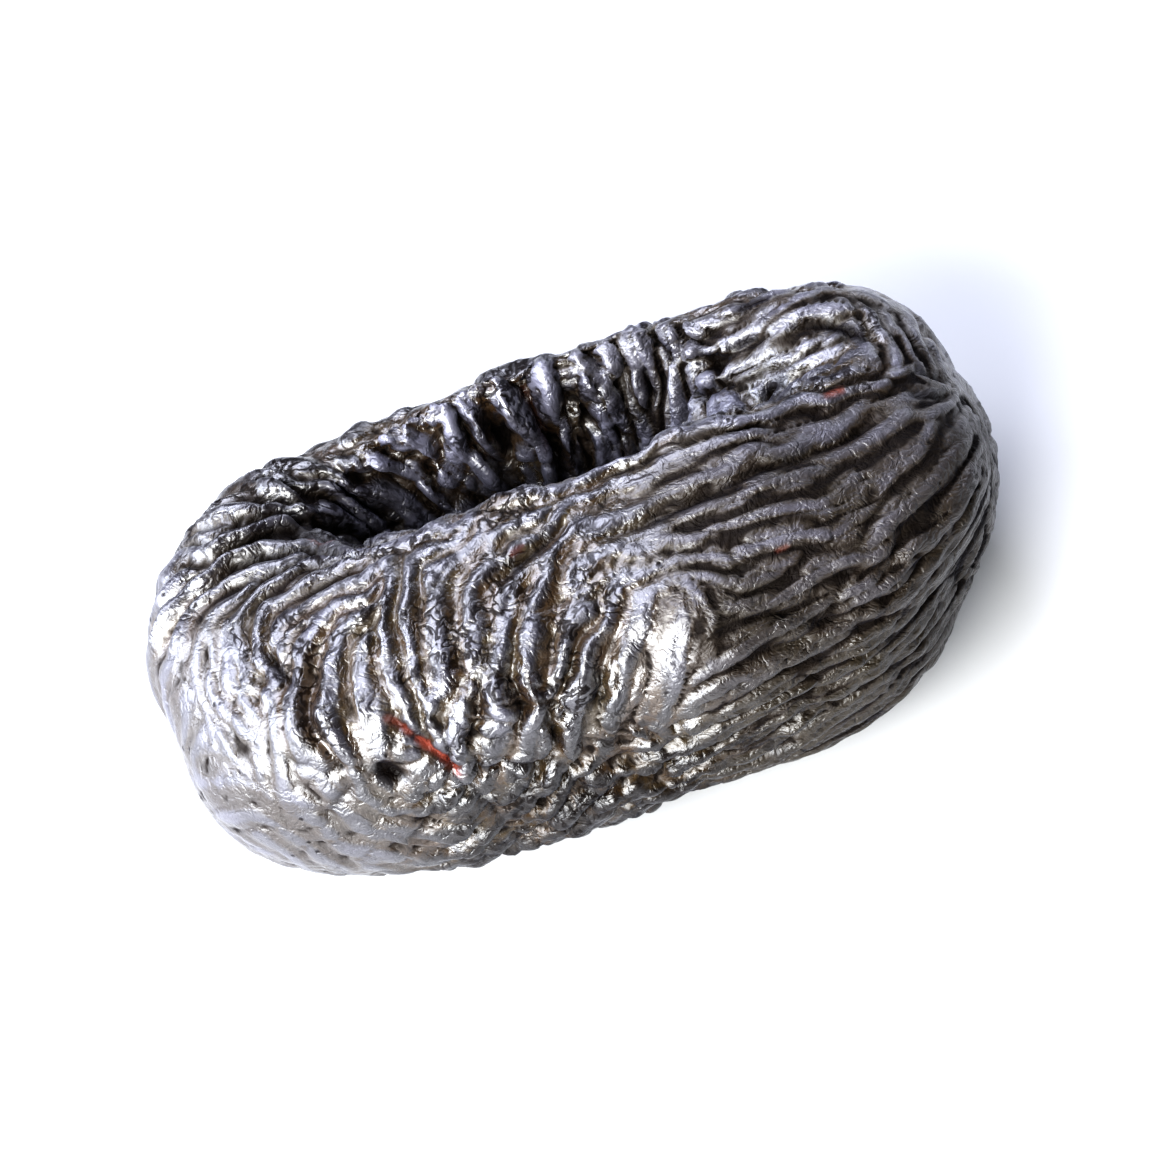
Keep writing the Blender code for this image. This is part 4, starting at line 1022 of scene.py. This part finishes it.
class PruneSettings(bpy.types.PropertyGroup):
    wrinkle_height: FloatProperty(
        name="Wrinkle height", description="Height of the fine wrinkles on the folds",
        default=0.0003, min=0.0, precision=5, **AS_LENGTH)
    grain_depth: FloatProperty(
        name="Grain depth", description="Depth of the crinkles and pores in the finish",
        default=0.00004, min=0.0, precision=5, **AS_LENGTH)
    fold_colour: FloatVectorProperty(
        name="Long folds", description="Colour of the skin on the long folds",
        default=(0.02, 0.0155, 0.01, 1.0), **AS_COLOUR)
    crest_colour: FloatVectorProperty(
        name="Crests", description="Colour of the skin on the crests of the folds",
        default=(0.008, 0.006, 0.005, 1.0), **AS_COLOUR)
    valley_colour: FloatVectorProperty(
        name="Valleys", description="Colour of the skin between the folds",
        default=(0.04, 0.022, 0.008, 1.0), **AS_COLOUR)
    olive_colour: FloatVectorProperty(
        name="Patches", description="Colour of the lighter patches",
        default=(0.042, 0.028, 0.011, 1.0), **AS_COLOUR)
    red_colour: FloatVectorProperty(
        name="Flecks", description="Colour of the few red-brown flecks",
        default=(0.11, 0.026, 0.016, 1.0), **AS_COLOUR)
    # the bloom colour also paints light on the top, the left end, the upper right and the inner far
    # wall
    bloom_and_painted_light_colour: FloatVectorProperty(
        name="Bloom", description="Colour of the dusty bloom on the skin",
        default=(0.11, 0.108, 0.138, 1.0), **AS_COLOUR)


class StageSettings(bpy.types.PropertyGroup):
    floor_colour: FloatVectorProperty(
        name="Floor", description="Colour of the floor",
        default=(0.38, 0.38, 0.38, 1.0), **AS_COLOUR)
    sky_colour: FloatVectorProperty(
        name="Surround", description="Colour of the light all round",
        default=(0.86, 0.90, 1.0, 1.0), **AS_COLOUR)
    sky_strength: FloatProperty(
        name="Surround strength", description="Strength of the light all round",
        default=0.07, min=0.0)
    key_power: FloatProperty(
        name="Soft lights", description="Power that each soft light takes a share of",
        default=8.2, min=0.0, subtype="POWER", unit="POWER")
    view_elevation: FloatProperty(
        name="View height", description="Angle of the view above the floor",
        default=math.radians(58.0), **AS_ANGLE)
    view_roll: FloatProperty(
        name="View roll", description="How far the fruit's length rises to the right",
        default=math.radians(19.0), **AS_ANGLE)
    view_distance: FloatProperty(
        name="View distance", description="Distance from the camera to the fruit",
        default=0.6, **AS_LENGTH)
    view_width: FloatProperty(
        name="View width", description="Width of what the camera sees at the fruit",
        default=0.050, **AS_LENGTH)
    aim: FloatVectorProperty(
        name="Aim", description="Shift of the camera to the right and up",
        default=(0.0, 0.0), size=2, subtype="TRANSLATION", unit="LENGTH")


class PRUNE_OT_fruit(bpy.types.Operator):
    """Build the wrinkled skin of the prune in place of the plain solid"""
    bl_idname = "prune.fruit"
    bl_label = "Prune"

    def execute(self, context):
        make_fruit(context.scene.prune_settings)
        return {"FINISHED"}


class PRUNE_OT_stage(bpy.types.Operator):
    """Add the floor, the soft lights and the camera"""
    bl_idname = "prune.stage"
    bl_label = "Stage"

    def execute(self, context):
        settings = context.scene.prune_stage
        add_floor(settings)
        add_world(settings)
        for name, direction, distance, size, share, colour in LIGHTS:
            add_light(name, direction, distance, size, share * settings.key_power, colour)
        add_camera(settings)
        return {"FINISHED"}


class PRUNE_PT_sidebar(bpy.types.Panel):
    bl_label = "Prune"
    bl_idname = "PRUNE_PT_sidebar"
    bl_space_type = "VIEW_3D"
    bl_region_type = "UI"
    bl_category = "Prune"

    def draw(self, context):
        layout = self.layout
        for group, operator in ((context.scene.prune_settings, PRUNE_OT_fruit),
                                (context.scene.prune_stage, PRUNE_OT_stage)):
            box = layout.box()
            for name in group.__annotations__:
                box.prop(group, name)
            box.operator(operator.bl_idname)


CLASSES = (PruneSettings, StageSettings, PRUNE_OT_fruit, PRUNE_OT_stage, PRUNE_PT_sidebar)


def register():
    for cls in CLASSES:
        bpy.utils.register_class(cls)
    bpy.types.Scene.prune_settings = PointerProperty(type=PruneSettings)
    bpy.types.Scene.prune_stage = PointerProperty(type=StageSettings)


def unregister():
    del bpy.types.Scene.prune_stage, bpy.types.Scene.prune_settings
    for cls in reversed(CLASSES):
        bpy.utils.unregister_class(cls)


def main():
    register()
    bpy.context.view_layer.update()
    bpy.ops.prune.fruit()
    bpy.ops.prune.stage()


if __name__ == "__main__":
    main()
